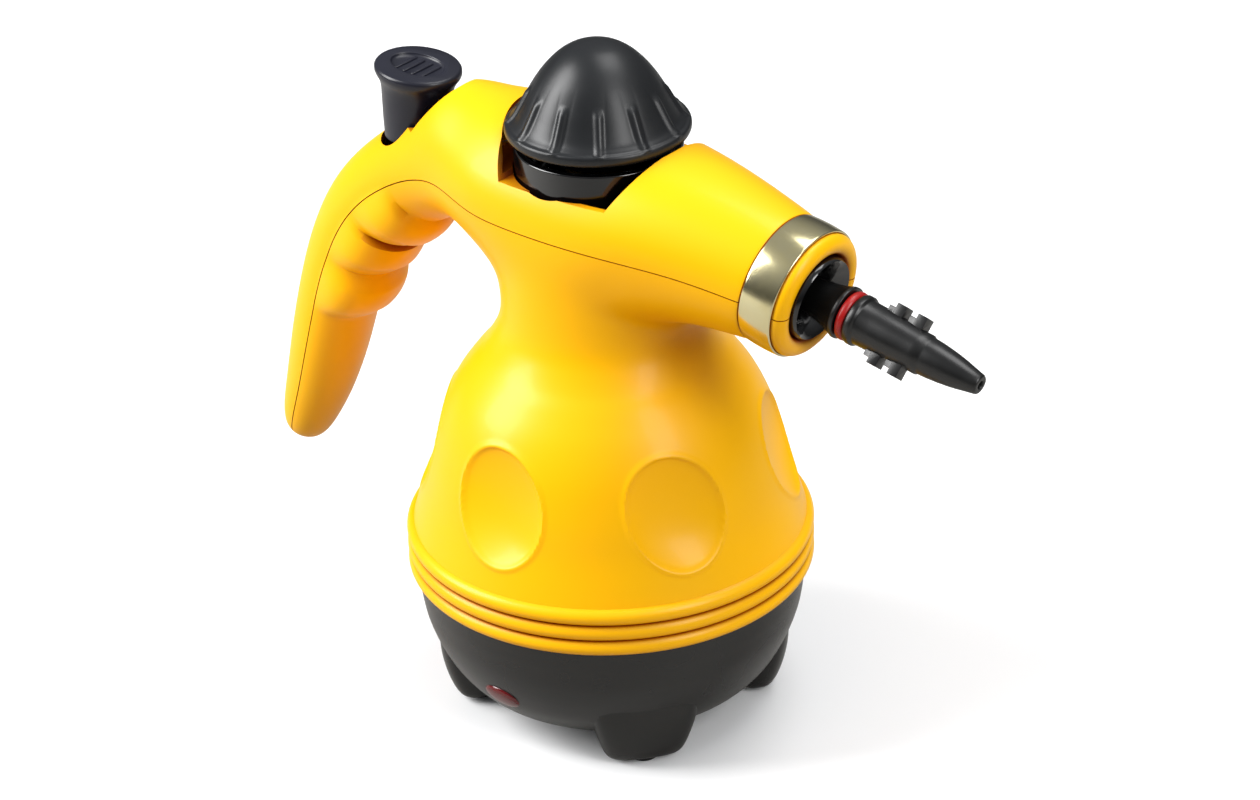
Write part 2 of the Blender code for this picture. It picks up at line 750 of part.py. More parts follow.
def relief_valve():
    """Over-pressure valve on the boiler's cover: a sprung poppet in a brass tube."""
    x = AXIS_X + 20
    outer = [(3.7, 157), (5.6, 157), (5.6, 139), (7, 138.5), (7, 134.4)]
    body = [*outer, (2.0, 134.4), (2.0, 137.5), (3.7, 137.5)]
    place(turned("relief_valve_body", body, "brass", steps=18, ring=True), (x, 0, 0))
    poppet = [(0, 145.5), (1.4, 145.5), (1.4, 141.3), (3.2, 141.0), (3.2, 138.0), (0, 138.0)]
    place(turned("relief_poppet", poppet, "brass", steps=16), (x, 0, 0))
    wire("relief_spring", helix((x, 0), 2.5, 141.9, 153.0, 4), 0.45, "spring_steel")
    cap = [(1.0, 158.6), (5.6, 158.6), (5.6, 157.3), (3.4, 157.3), (3.4, 153.8), (1.0, 153.8)]
    place(turned("relief_cap", cap, "brass", steps=16, ring=True), (x, 0, 0))


# --- steam valve and button --------------------------------------------------------------------


def steam_valve():
    outer = [(5.6, 166), (7.4, 166), (7.4, 139), (8.6, 138.6), (8.6, 134.4)]
    body = [*outer, (2.2, 134.4), (2.2, 140), (5.6, 141)]
    body = place(turned("valve_body", body, "brass", steps=16, ring=True), (VALVE_X, 0, 0))
    port = place(cylinder("valve_port", 2.6, 0, 14, steps=10), (VALVE_X, 0, 146), (-math.pi / 2, 0, 0))
    cut(body, port)
    cap = [(2.5, 170.4), (7.4, 170.4), (7.4, 166.4), (5.2, 166.4), (5.2, 165), (2.5, 165)]
    place(turned("valve_cap", cap, "brass", steps=16, ring=True), (VALVE_X, 0, 0))
    top = LEVER_Z + LEVER_THICKNESS / 2 + 1.2
    plunger = [
        (0, top + 1.8),
        (5.0, top + 1.8),
        (5.0, top),
        (1.9, top - 0.2),
        (1.9, 151.5),
        (4.6, 151.0),
        (4.6, 149.0),
        (1.9, 148.5),
        (1.9, 144.5),
        (0, 144.5),
    ]
    place(turned("valve_plunger", plunger, "steel", steps=10), (VALVE_X, 0, 0))
    seal = [(0, 144.2), (4.2, 144.2), (4.6, 143.6), (4.6, 141.9), (0, 141.9)]
    place(turned("valve_seal", seal, "silicone", steps=10), (VALVE_X, 0, 0))
    wire("valve_spring", helix((VALVE_X, 0), 3.6, 152.2, 164.0, 4), 0.55, "spring_steel")


def lever():
    """The rocker that lifts the plunger when the button goes down, on its pin and bracket."""
    back, front = BUTTON_X - 4.5, VALVE_X + 3.5
    size, middle = (front - back, 8.6, LEVER_THICKNESS), (front + back) / 2
    bar = box("valve_lever", size, (middle - PIVOT_X, 0, 0), "steel", bevel=0.4)
    mesh = bar.data
    mesh.transform(Matrix.Translation(bar.location))
    place(bar, (PIVOT_X, 0, LEVER_Z))
    hub = place(cylinder("lever_hub", 3.6, -5.3, 5.3, steps=10), (PIVOT_X, 0, LEVER_Z), (math.pi / 2, 0, 0))
    join(bar, hub)
    slot = box("fork_slot", (14, 4.8, 8), (VALVE_X + 3.5, 0, LEVER_Z))
    bore = place(cylinder("lever_bore", 2.0, -9, 9, steps=10), (PIVOT_X, 0, LEVER_Z), (math.pi / 2, 0, 0))
    cut(bar, slot, bore)
    pin = cylinder("lever_pin", 1.7, -8.6, 8.6, "steel", steps=10)
    place(pin, (PIVOT_X, 0, LEVER_Z), (math.pi / 2, 0, 0))
    bracket = box("lever_bracket", (10, 15.2, 11.4), (PIVOT_X, 0, 176.3), "steel")
    inside = box("bracket_inside", (14, 11.6, 11.4), (PIVOT_X, 0, 177.9))
    pin_hole = cylinder("bracket_bore", 2.0, -12, 12, steps=10)
    place(pin_hole, (PIVOT_X, 0, LEVER_Z), (math.pi / 2, 0, 0))
    cut(bracket, inside, pin_hole)


def steam_button():
    """The flared oval button on the handle, its guide and its spring."""
    sections = [
        (186.6 + BUTTON_TRAVEL, 11.2, 10.6, 0.0),
        (199.0, 11.4, 10.8, 0.0),
        (206.0, 11.9, 11.2, 0.3),
        (211.5, 13.4, 12.4, 0.8),
        (214.2, 15.0, 13.8, 1.2),
        (216.2, 15.4, 14.2, 1.2),
        (217.6, 14.8, 13.6, 1.2),
    ]
    rings = []
    for height, half_x, half_y, forward in sections:
        lean = 0.09 if height > 210 else 0
        ring = []
        for k in range(20):
            angle = 2 * math.pi * k / 20
            x = half_x * math.cos(angle)
            ring.append((BUTTON_X + forward + x, half_y * math.sin(angle), height - lean * x))
        rings.append(ring)
    button = loft("steam_button", rings, "button_grey")
    pad_profile = [(0, 222), (11.5, 222), (8.5, 216.6), (0, 216.2)]
    pad = place(turned("thumb_pad", pad_profile, steps=20), (BUTTON_X + 1.2, 0, 0))
    hollow = place(cylinder("button_hollow", 9.2, 180, 211, steps=18), (BUTTON_X, 0, 0))
    stem_low = LEVER_Z + LEVER_THICKNESS / 2 + 1.0
    stem = place(cylinder("button_stem", 2.8, stem_low, 213, steps=10), (BUTTON_X, 0, 0))
    cut(button, pad, hollow)
    join(button, stem)
    guide = [(12.0, 193), (13.2, 193), (13.2, GUIDE_FLOOR), (3.6, GUIDE_FLOOR), (3.6, GUIDE_FLOOR + 1.4)]
    guide.append((12.0, GUIDE_FLOOR + 1.4))
    place(turned("button_guide", guide, "white_nylon", steps=20, ring=True), (BUTTON_X, 0, 0))
    wire("button_spring", helix((BUTTON_X, 0), 6.4, GUIDE_FLOOR + 2.5, 209.9, 4), 0.6, "spring_steel")


def steam_pipe():
    """Silicone-lined steel pipe from the valve's port past the filler to the nozzle's root."""
    back = -13.2
    end = (
        SNOUT_ORIGIN[0] + back * math.cos(SNOUT_TILT),
        0,
        SNOUT_ORIGIN[1] - back * math.sin(SNOUT_TILT),
    )
    before = (end[0] - 9 * math.cos(SNOUT_TILT), 0, end[2] + 9 * math.sin(SNOUT_TILT))
    knots = [(VALVE_X, 9.6, 146), (VALVE_X + 2, 16, 147), (AXIS_X, 21, 154), (AXIS_X + 22, 17, 168)]
    knots += [(AXIS_X + 40, 6, 180), before, end]
    wire("steam_pipe", smooth_route(knots, per_span=4), 2.4, "silicone")


# --- safety cap --------------------------------------------------------------------------------


def cap_outline():
    return [
        (0, CAP_TOP_Z),
        (6.5, CAP_TOP_Z - 0.3),
        (12.0, CAP_TOP_Z - 1.9),
        (17.0, CAP_TOP_Z - 5.2),
        (21.5, CAP_TOP_Z - 10.2),
        (25.2, CAP_TOP_Z - 16.2),
        (27.8, CAP_TOP_Z - 23.0),
        (29.4, CAP_RIM_Z + 5.4),
        (CAP_RADIUS, CAP_RIM_Z + 3.4),
        (CAP_RADIUS, CAP_RIM_Z + 1.2),
        (CAP_RADIUS - 0.8, CAP_RIM_Z),
    ]


def safety_cap():
    """Dome pressed down against a spring before it turns the threaded plug."""
    inner = [
        (27.4, CAP_RIM_Z),
        (26.6, CAP_RIM_Z + 8),
        (22.5, CAP_TOP_Z - 17),
        (17.0, CAP_TOP_Z - 11),
        (12.6, CAP_TOP_Z - 8.5),
        (12.6, 222.4),
        (7.2, 222.4),
        (7.2, 218),
        (2.3, 218),
        (2.3, CAP_TOP_Z - 8),
        (0, CAP_TOP_Z - 8),
    ]
    place(turned("cap_dome", [*cap_outline(), *inner], "charcoal_cap", steps=28), (AXIS_X, 0, 0))
    low = PLUG_FLANGE_Z
    plug = [
        (2.3, low + 7),
        (7.6, low + 7),
        (7.6, low + 3.4),
        (19, low + 3.4),
        (19, low),
        (7.6, low - 0.2),
        (7.6, 187),
        (4.4, 186),
        (4.4, 205.5),
        (2.3, 205.5),
    ]
    place(turned("cap_plug", plug, "black_gloss", steps=20, ring=True), (AXIS_X, 0, 0))
    gasket = tube("cap_gasket", 11.6, 8.4, FILLER_TOP + 0.3, low - 0.5, "silicone", steps=18)
    place(gasket, (AXIS_X, 0, 0))
    washer = tube("cap_thrust_washer", 13.4, 8.0, low + 3.7, low + 4.5, "white_nylon", steps=18)
    place(washer, (AXIS_X, 0, 0))
    spring_low, spring_high = low + 5.5, 221.4
    coils = helix((AXIS_X, 0), 9.9, spring_low, spring_high, 3, per_turn=8)
    wire("cap_spring", coils, 0.65, "spring_steel")
    shank = [(0, CAP_TOP_Z - 10), (2.0, CAP_TOP_Z - 10), (2.0, 205.2)]
    screw = [*shank, (3.8, 205.2), (3.8, 202.2), (0, 202.2)]
    place(turned("cap_screw", screw, "steel", steps=16), (AXIS_X, 0, 0))


# --- wiring ------------------------------------------------------------------------------------


def wiring():
    box("terminal_block", (16, 24, 12), (AXIS_X - 36, 0, 24), "white_nylon", bevel=0.8)
    live = [(-50, 6, 30), (-44, 8, 42), (-22, 14, 50), (-6, 18.0, 54), (-6, 18.0, 61.6)]
    wire("lead_live", smooth_route(live, per_span=3), 1.1, "lead_brown")
    neutral = [(-50, -6, 30), (-40, -12, 40), (-16, -10, 46), (-3, -3, 50), (-2, 0, 58)]
    wire("lead_neutral", smooth_route(neutral, per_span=3), 1.1, "lead_blue")


clear_scene()
PARTS = collection("steam_cleaner")
CUTTERS = collection("cutters")
body_shells()
trim_ring()
nozzle_socket()
nozzle()
base()
indicator()
cord_gland()
boiler()
filler()
heater()
relief_valve()
steam_valve()
lever()
steam_button()
steam_pipe()
safety_cap()
wiring()
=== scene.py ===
"""Looks of a hand-held steam cleaner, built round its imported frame.

Lengths in the classes are millimetres and MM turns them into metres. +X points at the nozzle, +Z
up, and the bell turns about the vertical axis through the origin.
"""

import logging
import math
from collections.abc import Callable, Iterable, Sequence
from dataclasses import dataclass, field
from enum import Enum

import bmesh
import bpy
from mathutils import Matrix, Vector


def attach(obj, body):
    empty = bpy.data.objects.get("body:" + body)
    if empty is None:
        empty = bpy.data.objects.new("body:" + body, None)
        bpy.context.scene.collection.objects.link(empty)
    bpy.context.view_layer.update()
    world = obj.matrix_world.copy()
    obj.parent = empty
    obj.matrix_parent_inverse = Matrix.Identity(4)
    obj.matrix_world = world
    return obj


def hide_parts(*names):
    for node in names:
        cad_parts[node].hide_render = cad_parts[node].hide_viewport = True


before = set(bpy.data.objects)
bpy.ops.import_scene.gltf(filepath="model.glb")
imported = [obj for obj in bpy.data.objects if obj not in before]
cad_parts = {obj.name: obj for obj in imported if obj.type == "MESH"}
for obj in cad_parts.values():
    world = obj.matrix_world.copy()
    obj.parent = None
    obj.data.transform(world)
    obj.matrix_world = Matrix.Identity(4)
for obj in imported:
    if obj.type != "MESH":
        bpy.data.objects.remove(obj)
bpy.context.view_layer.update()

MM = 0.001
SHARP = 38.0
Point = tuple[float, float]
Shape = bmesh.types.BMesh
Part = bpy.types.Object
Material = bpy.types.Material
log = logging.getLogger("steam_cleaner")


# --- small helpers ------------------------------------------------------------------------------


def linear(code: str) -> tuple[float, float, float, float]:
    """Turns an sRGB hex colour into the linear values that a shader takes.

    Args:
        code: six hex digits.

    Returns:
        Red, green, blue and an alpha of one.
    """
    channels = [int(code[i : i + 2], 16) / 255 for i in (0, 2, 4)]
    red, green, blue = (c / 12.92 if c <= 0.04045 else ((c + 0.055) / 1.055) ** 2.4 for c in channels)
    return red, green, blue, 1.0


def add_node(tree: bpy.types.NodeTree, kind: str, inputs: dict | None = None, **settings) -> bpy.types.Node:
    """Adds a node with its settings, its constants and its links.

    Args:
        tree: the tree that gets the node.
        kind: the node's type name.
        inputs: value or output socket for each input, by name or number.
        settings: attributes of the node itself.

    Returns:
        The new node.
    """
    node = tree.nodes.new(kind)
    for name, value in settings.items():
        setattr(node, name, value)
    for key, value in (inputs or {}).items():
        if isinstance(value, bpy.types.NodeSocket):
            tree.links.new(value, node.inputs[key])
        else:
            node.inputs[key].default_value = value
    return node


def smoothstep(low: float, high: float, value: float) -> float:
    """A smooth rise from 0 at low to 1 at high."""
    share = min(1.0, max(0.0, (value - low) / (high - low)))
    return share * share * (3 - 2 * share)


def curve_through(points: Sequence[Point], per_span: int = 6) -> list[Point]:
    """Draws a smooth line through points.

    Args:
        points: the points that the line passes.
        per_span: points made for each stretch.

    Returns:
        The finer line, with both ends kept.
    """
    knots = [Vector(p) for p in points]
    ends = [2 * knots[0] - knots[1], *knots, 2 * knots[-1] - knots[-2]]
    line: list[Point] = []
    for a, b, c, d in zip(ends, ends[1:], ends[2:], ends[3:]):
        for i in range(per_span):
            t = i / per_span
            square = 2 * a - 5 * b + 4 * c - d
            cube = 3 * b - a - 3 * c + d
            spot = 0.5 * (2 * b + (c - a) * t + square * t * t + cube * t**3)
            line.append((spot[0], spot[1]))
    return [*line, (knots[-1][0], knots[-1][1])]


def height_lookup(points: Sequence[Point]) -> Callable[[float], float]:
    """Makes a function that reads a radius off an outline.

    Args:
        points: (radius, height) from top to bottom.

    Returns:
        A function of the height that gives the radius.
    """
    line = sorted((z, r) for r, z in points)

    def radius(height: float) -> float:
        """Reads the radius, held at the ends.

        Args:
            height: the height.

        Returns:
            The radius there.
        """
        if height <= line[0][0]:
            return line[0][1]
        for (low, inner), (high, outer) in zip(line, line[1:]):
            if height <= high:
                return inner + (outer - inner) * (height - low) / max(high - low, 1e-9)
        return line[-1][1]

    return radius


def lathe(
    profile: Sequence[Point],
    steps: int,
    ring: bool = False,
    shift: Callable[[float, float, float], Point] | None = None,
) -> Shape:
    """Turns a profile about Z into a closed mesh.

    Args:
        profile: (radius, height) points; one on the axis becomes a pole.
        steps: how many sides the turned shape has.
        ring: joins the last point to the first.
        shift: gives a moved (radius, height) for an angle, a radius and a height.

    Returns:
        The mesh in metres, facing outwards.
    """
    shape = bmesh.new()
    rows: list[list[bmesh.types.BMVert]] = []
    for r, z in profile:
        if r < 1e-6:
            rows.append([shape.verts.new((0, 0, z * MM))])
            continue
        row = []
        for k in range(steps):
            angle = 2 * math.pi * k / steps
            moved_r, moved_z = shift(angle, r, z) if shift else (r, z)
            reach = moved_r * MM
            row.append(shape.verts.new((reach * math.cos(angle), reach * math.sin(angle), moved_z * MM)))
        rows.append(row)
    pairs = list(zip(rows, rows[1:]))
    if ring:
        pairs.append((rows[-1], rows[0]))
    for upper, lower in pairs:
        for k in range(steps):
            after = (k + 1) % steps
            if len(upper) == 1 and len(lower) == 1:
                continue
            if len(upper) == 1:
                shape.faces.new((upper[0], lower[k], lower[after]))
            elif len(lower) == 1:
                shape.faces.new((upper[k], lower[0], upper[after]))
            else:
                shape.faces.new((upper[k], lower[k], lower[after], upper[after]))
    bmesh.ops.recalc_face_normals(shape, faces=shape.faces)
    return shape


def loft(rings: Sequence[Sequence[Vector]]) -> Shape:
    """Joins rings of points into a closed mesh.

    Args:
        rings: rings of equally many points, in metres.

    Returns:
        The mesh, facing outwards.
    """
    shape = bmesh.new()
    rows = [[shape.verts.new(p) for p in ring] for ring in rings]
    count = len(rows[0])
    for row, after in zip(rows, rows[1:]):
        for k in range(count):
            shape.faces.new((row[k], row[(k + 1) % count], after[(k + 1) % count], after[k]))
    shape.faces.new(rows[0])
    shape.faces.new(rows[-1])
    bmesh.ops.recalc_face_normals(shape, faces=shape.faces)
    return shape


def block(size: Sequence[float], centre: Sequence[float]) -> Shape:
    """Makes a block.

    Args:
        size: its three lengths in millimetres.
        centre: its middle in millimetres.

    Returns:
        The mesh in metres.
    """
    shape = bmesh.new()
    bmesh.ops.create_cube(shape, size=1)
    bmesh.ops.scale(shape, vec=Vector(size) * MM, verts=shape.verts)
    bmesh.ops.translate(shape, vec=Vector(centre) * MM, verts=shape.verts)
    return shape


def moved(x: float, y: float = 0.0, z: float = 0.0) -> Matrix:
    """A shift by millimetres."""
    return Matrix.Translation(Vector((x, y, z)) * MM)


def as_object(name: str, shape: Shape, sharp: float = SHARP) -> Part:
    """Puts a mesh into the scene as an object at the origin.

    Args:
        name: the object's name.
        shape: the mesh, which is freed.
        sharp: edges that turn by more degrees than this stay sharp.

    Returns:
        The object.
    """
    mesh = bpy.data.meshes.new(name)
    shape.to_mesh(mesh)
    shape.free()
    mesh.shade_smooth()
    mesh.set_sharp_from_angle(angle=math.radians(sharp))
    obj = bpy.data.objects.new(name, mesh)
    bpy.context.scene.collection.objects.link(obj)
    return obj


def turned(
    name: str,
    profile: Sequence[Point],
    steps: int,
    place: Matrix | None = None,
    ring: bool = False,
    sharp: float = SHARP,
) -> Part:
    """Turns a profile into an object and stands its mesh in its place.

    Args:
        name: the object's name.
        profile: (radius, height) points, as for lathe.
        steps: how many sides the turned shape has.
        place: moves the mesh from the vertical axis, or None.
        ring: joins the last point to the first.
        sharp: edges that turn by more degrees than this stay sharp.

    Returns:
        The object.
    """
    obj = as_object(name, lathe(profile, steps, ring), sharp)
    if place is not None:
        obj.data.transform(place)
    return obj


def settle(obj: Part) -> Part:
    """Replaces an object's mesh by what its modifiers make of it and removes them.

    Args:
        obj: the object with its modifiers.

    Returns:
        The same object.
    """
    graph = bpy.context.evaluated_depsgraph_get()
    mesh = bpy.data.meshes.new_from_object(obj.evaluated_get(graph), depsgraph=graph)
    mesh.name = obj.name
    obj.modifiers.clear()
    obj.data = mesh
    mesh.shade_smooth()
    mesh.set_sharp_from_angle(angle=math.radians(SHARP))
    return obj


def rounded(obj: Part, width: float, segments: int = 3, angle: float = 32.0) -> Part:
    """Rounds an object's sharp edges.

    Args:
        obj: the object.
        width: radius in millimetres.
        segments: faces across each rounded edge.
        angle: edges that turn by more degrees than this are rounded.

    Returns:
        The same object.
    """
    bevel = obj.modifiers.new("Rounded edges", "BEVEL")
    bevel.width = width * MM
    bevel.segments = segments
    bevel.limit_method = "ANGLE"
    bevel.angle_limit = math.radians(angle)
    bevel.use_clamp_overlap = True
    return settle(obj)


def combine(obj: Part, others: Iterable[Part], operation: str) -> Part:
    """Joins other objects to one, or cuts them out of it, and removes them.

    Args:
        obj: the object that stays.
        others: the objects that are used up.
        operation: UNION or DIFFERENCE.

    Returns:
        The object that stays.
    """
    used = list(others)
    for other in used:
        modifier = obj.modifiers.new(operation, "BOOLEAN")
        modifier.operation = operation
        modifier.object = other
        modifier.solver = "EXACT"
    settle(obj)
    for other in used:
        bpy.data.objects.remove(other, do_unlink=True)
    return obj


# --- repeated details ---------------------------------------------------------------------------


class SteppedCopies:
    """A Geometry Nodes tree that repeats a shape, turning and shifting it a little each time."""

    def __init__(self) -> None:
        """Builds the tree with its named inputs."""
        self.tree = bpy.data.node_groups.new("Stepped copies", "GeometryNodeTree")
        tree = self.tree
        tree.interface.new_socket("Shape", in_out="INPUT", socket_type="NodeSocketGeometry")
        self.sockets: dict[str, str] = {}
        for name, kind in (
            ("Count", "NodeSocketInt"),
            ("Turn", "NodeSocketFloat"),
            ("Step", "NodeSocketVector"),
            ("Finish", "NodeSocketMaterial"),
        ):
            socket = tree.interface.new_socket(name, in_out="INPUT", socket_type=kind)
            self.sockets[name] = socket.identifier
        tree.interface.new_socket("Copies", in_out="OUTPUT", socket_type="NodeSocketGeometry")
        given = add_node(tree, "NodeGroupInput").outputs
        points = add_node(tree, "GeometryNodePoints", {"Count": given["Count"]})
        index = add_node(tree, "GeometryNodeInputIndex").outputs[0]
        step = {0: given["Step"], "Scale": index}
        shift = add_node(tree, "ShaderNodeVectorMath", step, operation="SCALE")
        placed = add_node(
            tree, "GeometryNodeSetPosition", {"Geometry": points.outputs[0], "Position": shift.outputs[0]}
        )
        angle = add_node(tree, "ShaderNodeMath", {0: given["Turn"], 1: index}, operation="MULTIPLY")
        turn = add_node(tree, "ShaderNodeCombineXYZ", {"Z": angle.outputs[0]})
        copies = add_node(
            tree,
            "GeometryNodeInstanceOnPoints",
            {"Points": placed.outputs[0], "Instance": given["Shape"], "Rotation": turn.outputs[0]},
        )
        real = add_node(tree, "GeometryNodeRealizeInstances", {"Geometry": copies.outputs[0]})
        finished = add_node(
            tree, "GeometryNodeSetMaterial", {"Geometry": real.outputs[0], "Material": given["Finish"]}
        )
        add_node(tree, "NodeGroupOutput", {0: finished.outputs[0]})

    def apply(
        self,
        obj: Part,
        count: int,
        turn: float,
        step: Sequence[float],
        finish: Material,
    ) -> Part:
        """Repeats an object's own shape and makes the result its mesh.

        Args:
            obj: holds the shape to repeat, in the place of the first copy.
            count: how many copies there are.
            turn: degrees that each copy turns about Z beyond the one before.
            step: millimetres that each copy is shifted beyond the one before.
            finish: the material of the copies.

        Returns:
            The same object, with its modifier gone.
        """
        modifier = obj.modifiers.new("Copies", "NODES")
        modifier.node_group = self.tree
        modifier[self.sockets["Count"]] = count
        modifier[self.sockets["Turn"]] = math.radians(turn)
        modifier[self.sockets["Step"]] = [length * MM for length in step]
        modifier[self.sockets["Finish"]] = finish
        return settle(obj)


# --- finishes -----------------------------------------------------------------------------------


@dataclass(frozen=True)
class Surface:
    """What moulded and metal finishes share: a mottled colour and roughness, and a fine bump."""

    name: str
    colour: str
    drift: str
    roughness: float

    def start(self) -> tuple[Material, bpy.types.NodeTree, bpy.types.NodeSocket]:
        """Starts a material.

        Returns:
            The material, its tree and the object's own coordinates.
        """
        material = bpy.data.materials.new(self.name)
        material.use_nodes = True
        place = add_node(material.node_tree, "ShaderNodeTexCoord").outputs["Object"]
        return material, material.node_tree, place

    def mottle(
        self,
        tree: bpy.types.NodeTree,
        share: bpy.types.NodeSocket,
        gloss: Point,
        height: bpy.types.NodeSocket,
        depth_mm: float,
    ) -> bpy.types.NodeSocket:
        """Links the varied roughness and the bump, and mixes the two colours.

        Args:
            tree: the material's tree.
            share: noise that chooses between the two ends.
            gloss: the least and the greatest roughness.
            height: noise that the bump follows.
            depth_mm: depth of the bump.

        Returns:
            The socket with the mixed colour.
        """
        shader = tree.nodes["Principled BSDF"]
        ends = {"From Min": 0.3, "From Max": 0.7, "To Min": gloss[0], "To Max": gloss[1]}
        rough = add_node(tree, "ShaderNodeMapRange", {"Value": share, **ends})
        tree.links.new(rough.outputs[0], shader.inputs["Roughness"])
        relief = {"Height": height, "Distance": depth_mm * MM, "Strength": 1.0}
        bump = add_node(tree, "ShaderNodeBump", relief)
        tree.links.new(bump.outputs[0], shader.inputs["Normal"])
        colours = {0: share, 6: linear(self.colour), 7: linear(self.drift)}
        return add_node(tree, "ShaderNodeMix", colours, data_type="RGBA").outputs[2]


@dataclass(frozen=True)
class Moulded(Surface):
    """A moulded plastic, rubber or ceramic with a mottled colour, a fine skin and, if given, painted shade
    in its creases.
    """

    skin_mm: float
    skin_depth_mm: float
    patch_mm: float = 35.0
    roughness_spread: float = 0.05
    coat: float = 0.0
    # painted shade: the colour that ambient occlusion mixes into creases and folds, and how far the
    # occlusion looks
    painted_crease_shade: str = ""
    painted_crease_shade_mm: float = 12.0
    translucent: float = 0.0
    specular: float = 0.5

    def make(self) -> Material:
        """Builds the material.

        Returns:
            The finished material.
        """
        material, tree, place = self.start()
        patches, skin = (
            add_node(
                tree,
                "ShaderNodeTexNoise",
                {"Vector": place, "Scale": 1 / (size * MM), "Detail": detail, "Roughness": rough},
            ).outputs["Fac"]
            for size, detail, rough in ((self.patch_mm, 3.0, 0.5), (self.skin_mm, 2.0, 0.6))
        )
        gloss = (self.roughness - self.roughness_spread, self.roughness + self.roughness_spread)
        colour = self.mottle(tree, patches, gloss, skin, self.skin_depth_mm)
        # Painted shade: an ambient-occlusion mask pulls the colour towards the painted crease shade in
        # folds and creases
        if self.painted_crease_shade:
            reach = {"Distance": self.painted_crease_shade_mm * MM}
            shade = add_node(tree, "ShaderNodeAmbientOcclusion", reach, samples=8)
            soft = add_node(
                tree,
                "ShaderNodeMapRange",
                {"Value": shade.outputs["AO"], "From Min": 0.3, "From Max": 0.95},
                interpolation_type="SMOOTHSTEP",
            )
            colours = {0: soft.outputs[0], 6: linear(self.painted_crease_shade), 7: colour}
            colour = add_node(tree, "ShaderNodeMix", colours, data_type="RGBA").outputs[2]
        shader = tree.nodes["Principled BSDF"]
        tree.links.new(colour, shader.inputs["Base Color"])
        for name, value in (
            ("IOR", 1.5),
            ("Specular IOR Level", self.specular),
            ("Coat Weight", self.coat),
            ("Coat Roughness", 0.12),
            ("Transmission Weight", self.translucent),
        ):
            shader.inputs[name].default_value = value
        return material


@dataclass(frozen=True)
class Metal(Surface):
    """A bare or plated metal with fine directional or cast texture."""

    grain_mm: tuple[float, float, float]
    depth_mm: float
    spread: float = 0.08

    def make(self) -> Material:
        """Builds the material.

        Returns:
            The finished material.
        """
        material, tree, place = self.start()
        scale = [1 / (size * MM) for size in self.grain_mm]
        stretch = add_node(tree, "ShaderNodeMapping", {"Vector": place, "Scale": scale}).outputs[0]
        noise = {"Vector": stretch, "Scale": 1.0, "Detail": 3.0}
        grain = add_node(tree, "ShaderNodeTexNoise", noise).outputs["Fac"]
        gloss = (max(0.02, self.roughness - self.spread), self.roughness + self.spread)
        colour = self.mottle(tree, grain, gloss, grain, self.depth_mm)
        shader = tree.nodes["Principled BSDF"]
        tree.links.new(colour, shader.inputs["Base Color"])
        shader.inputs["Metallic"].default_value = 1.0
        return material


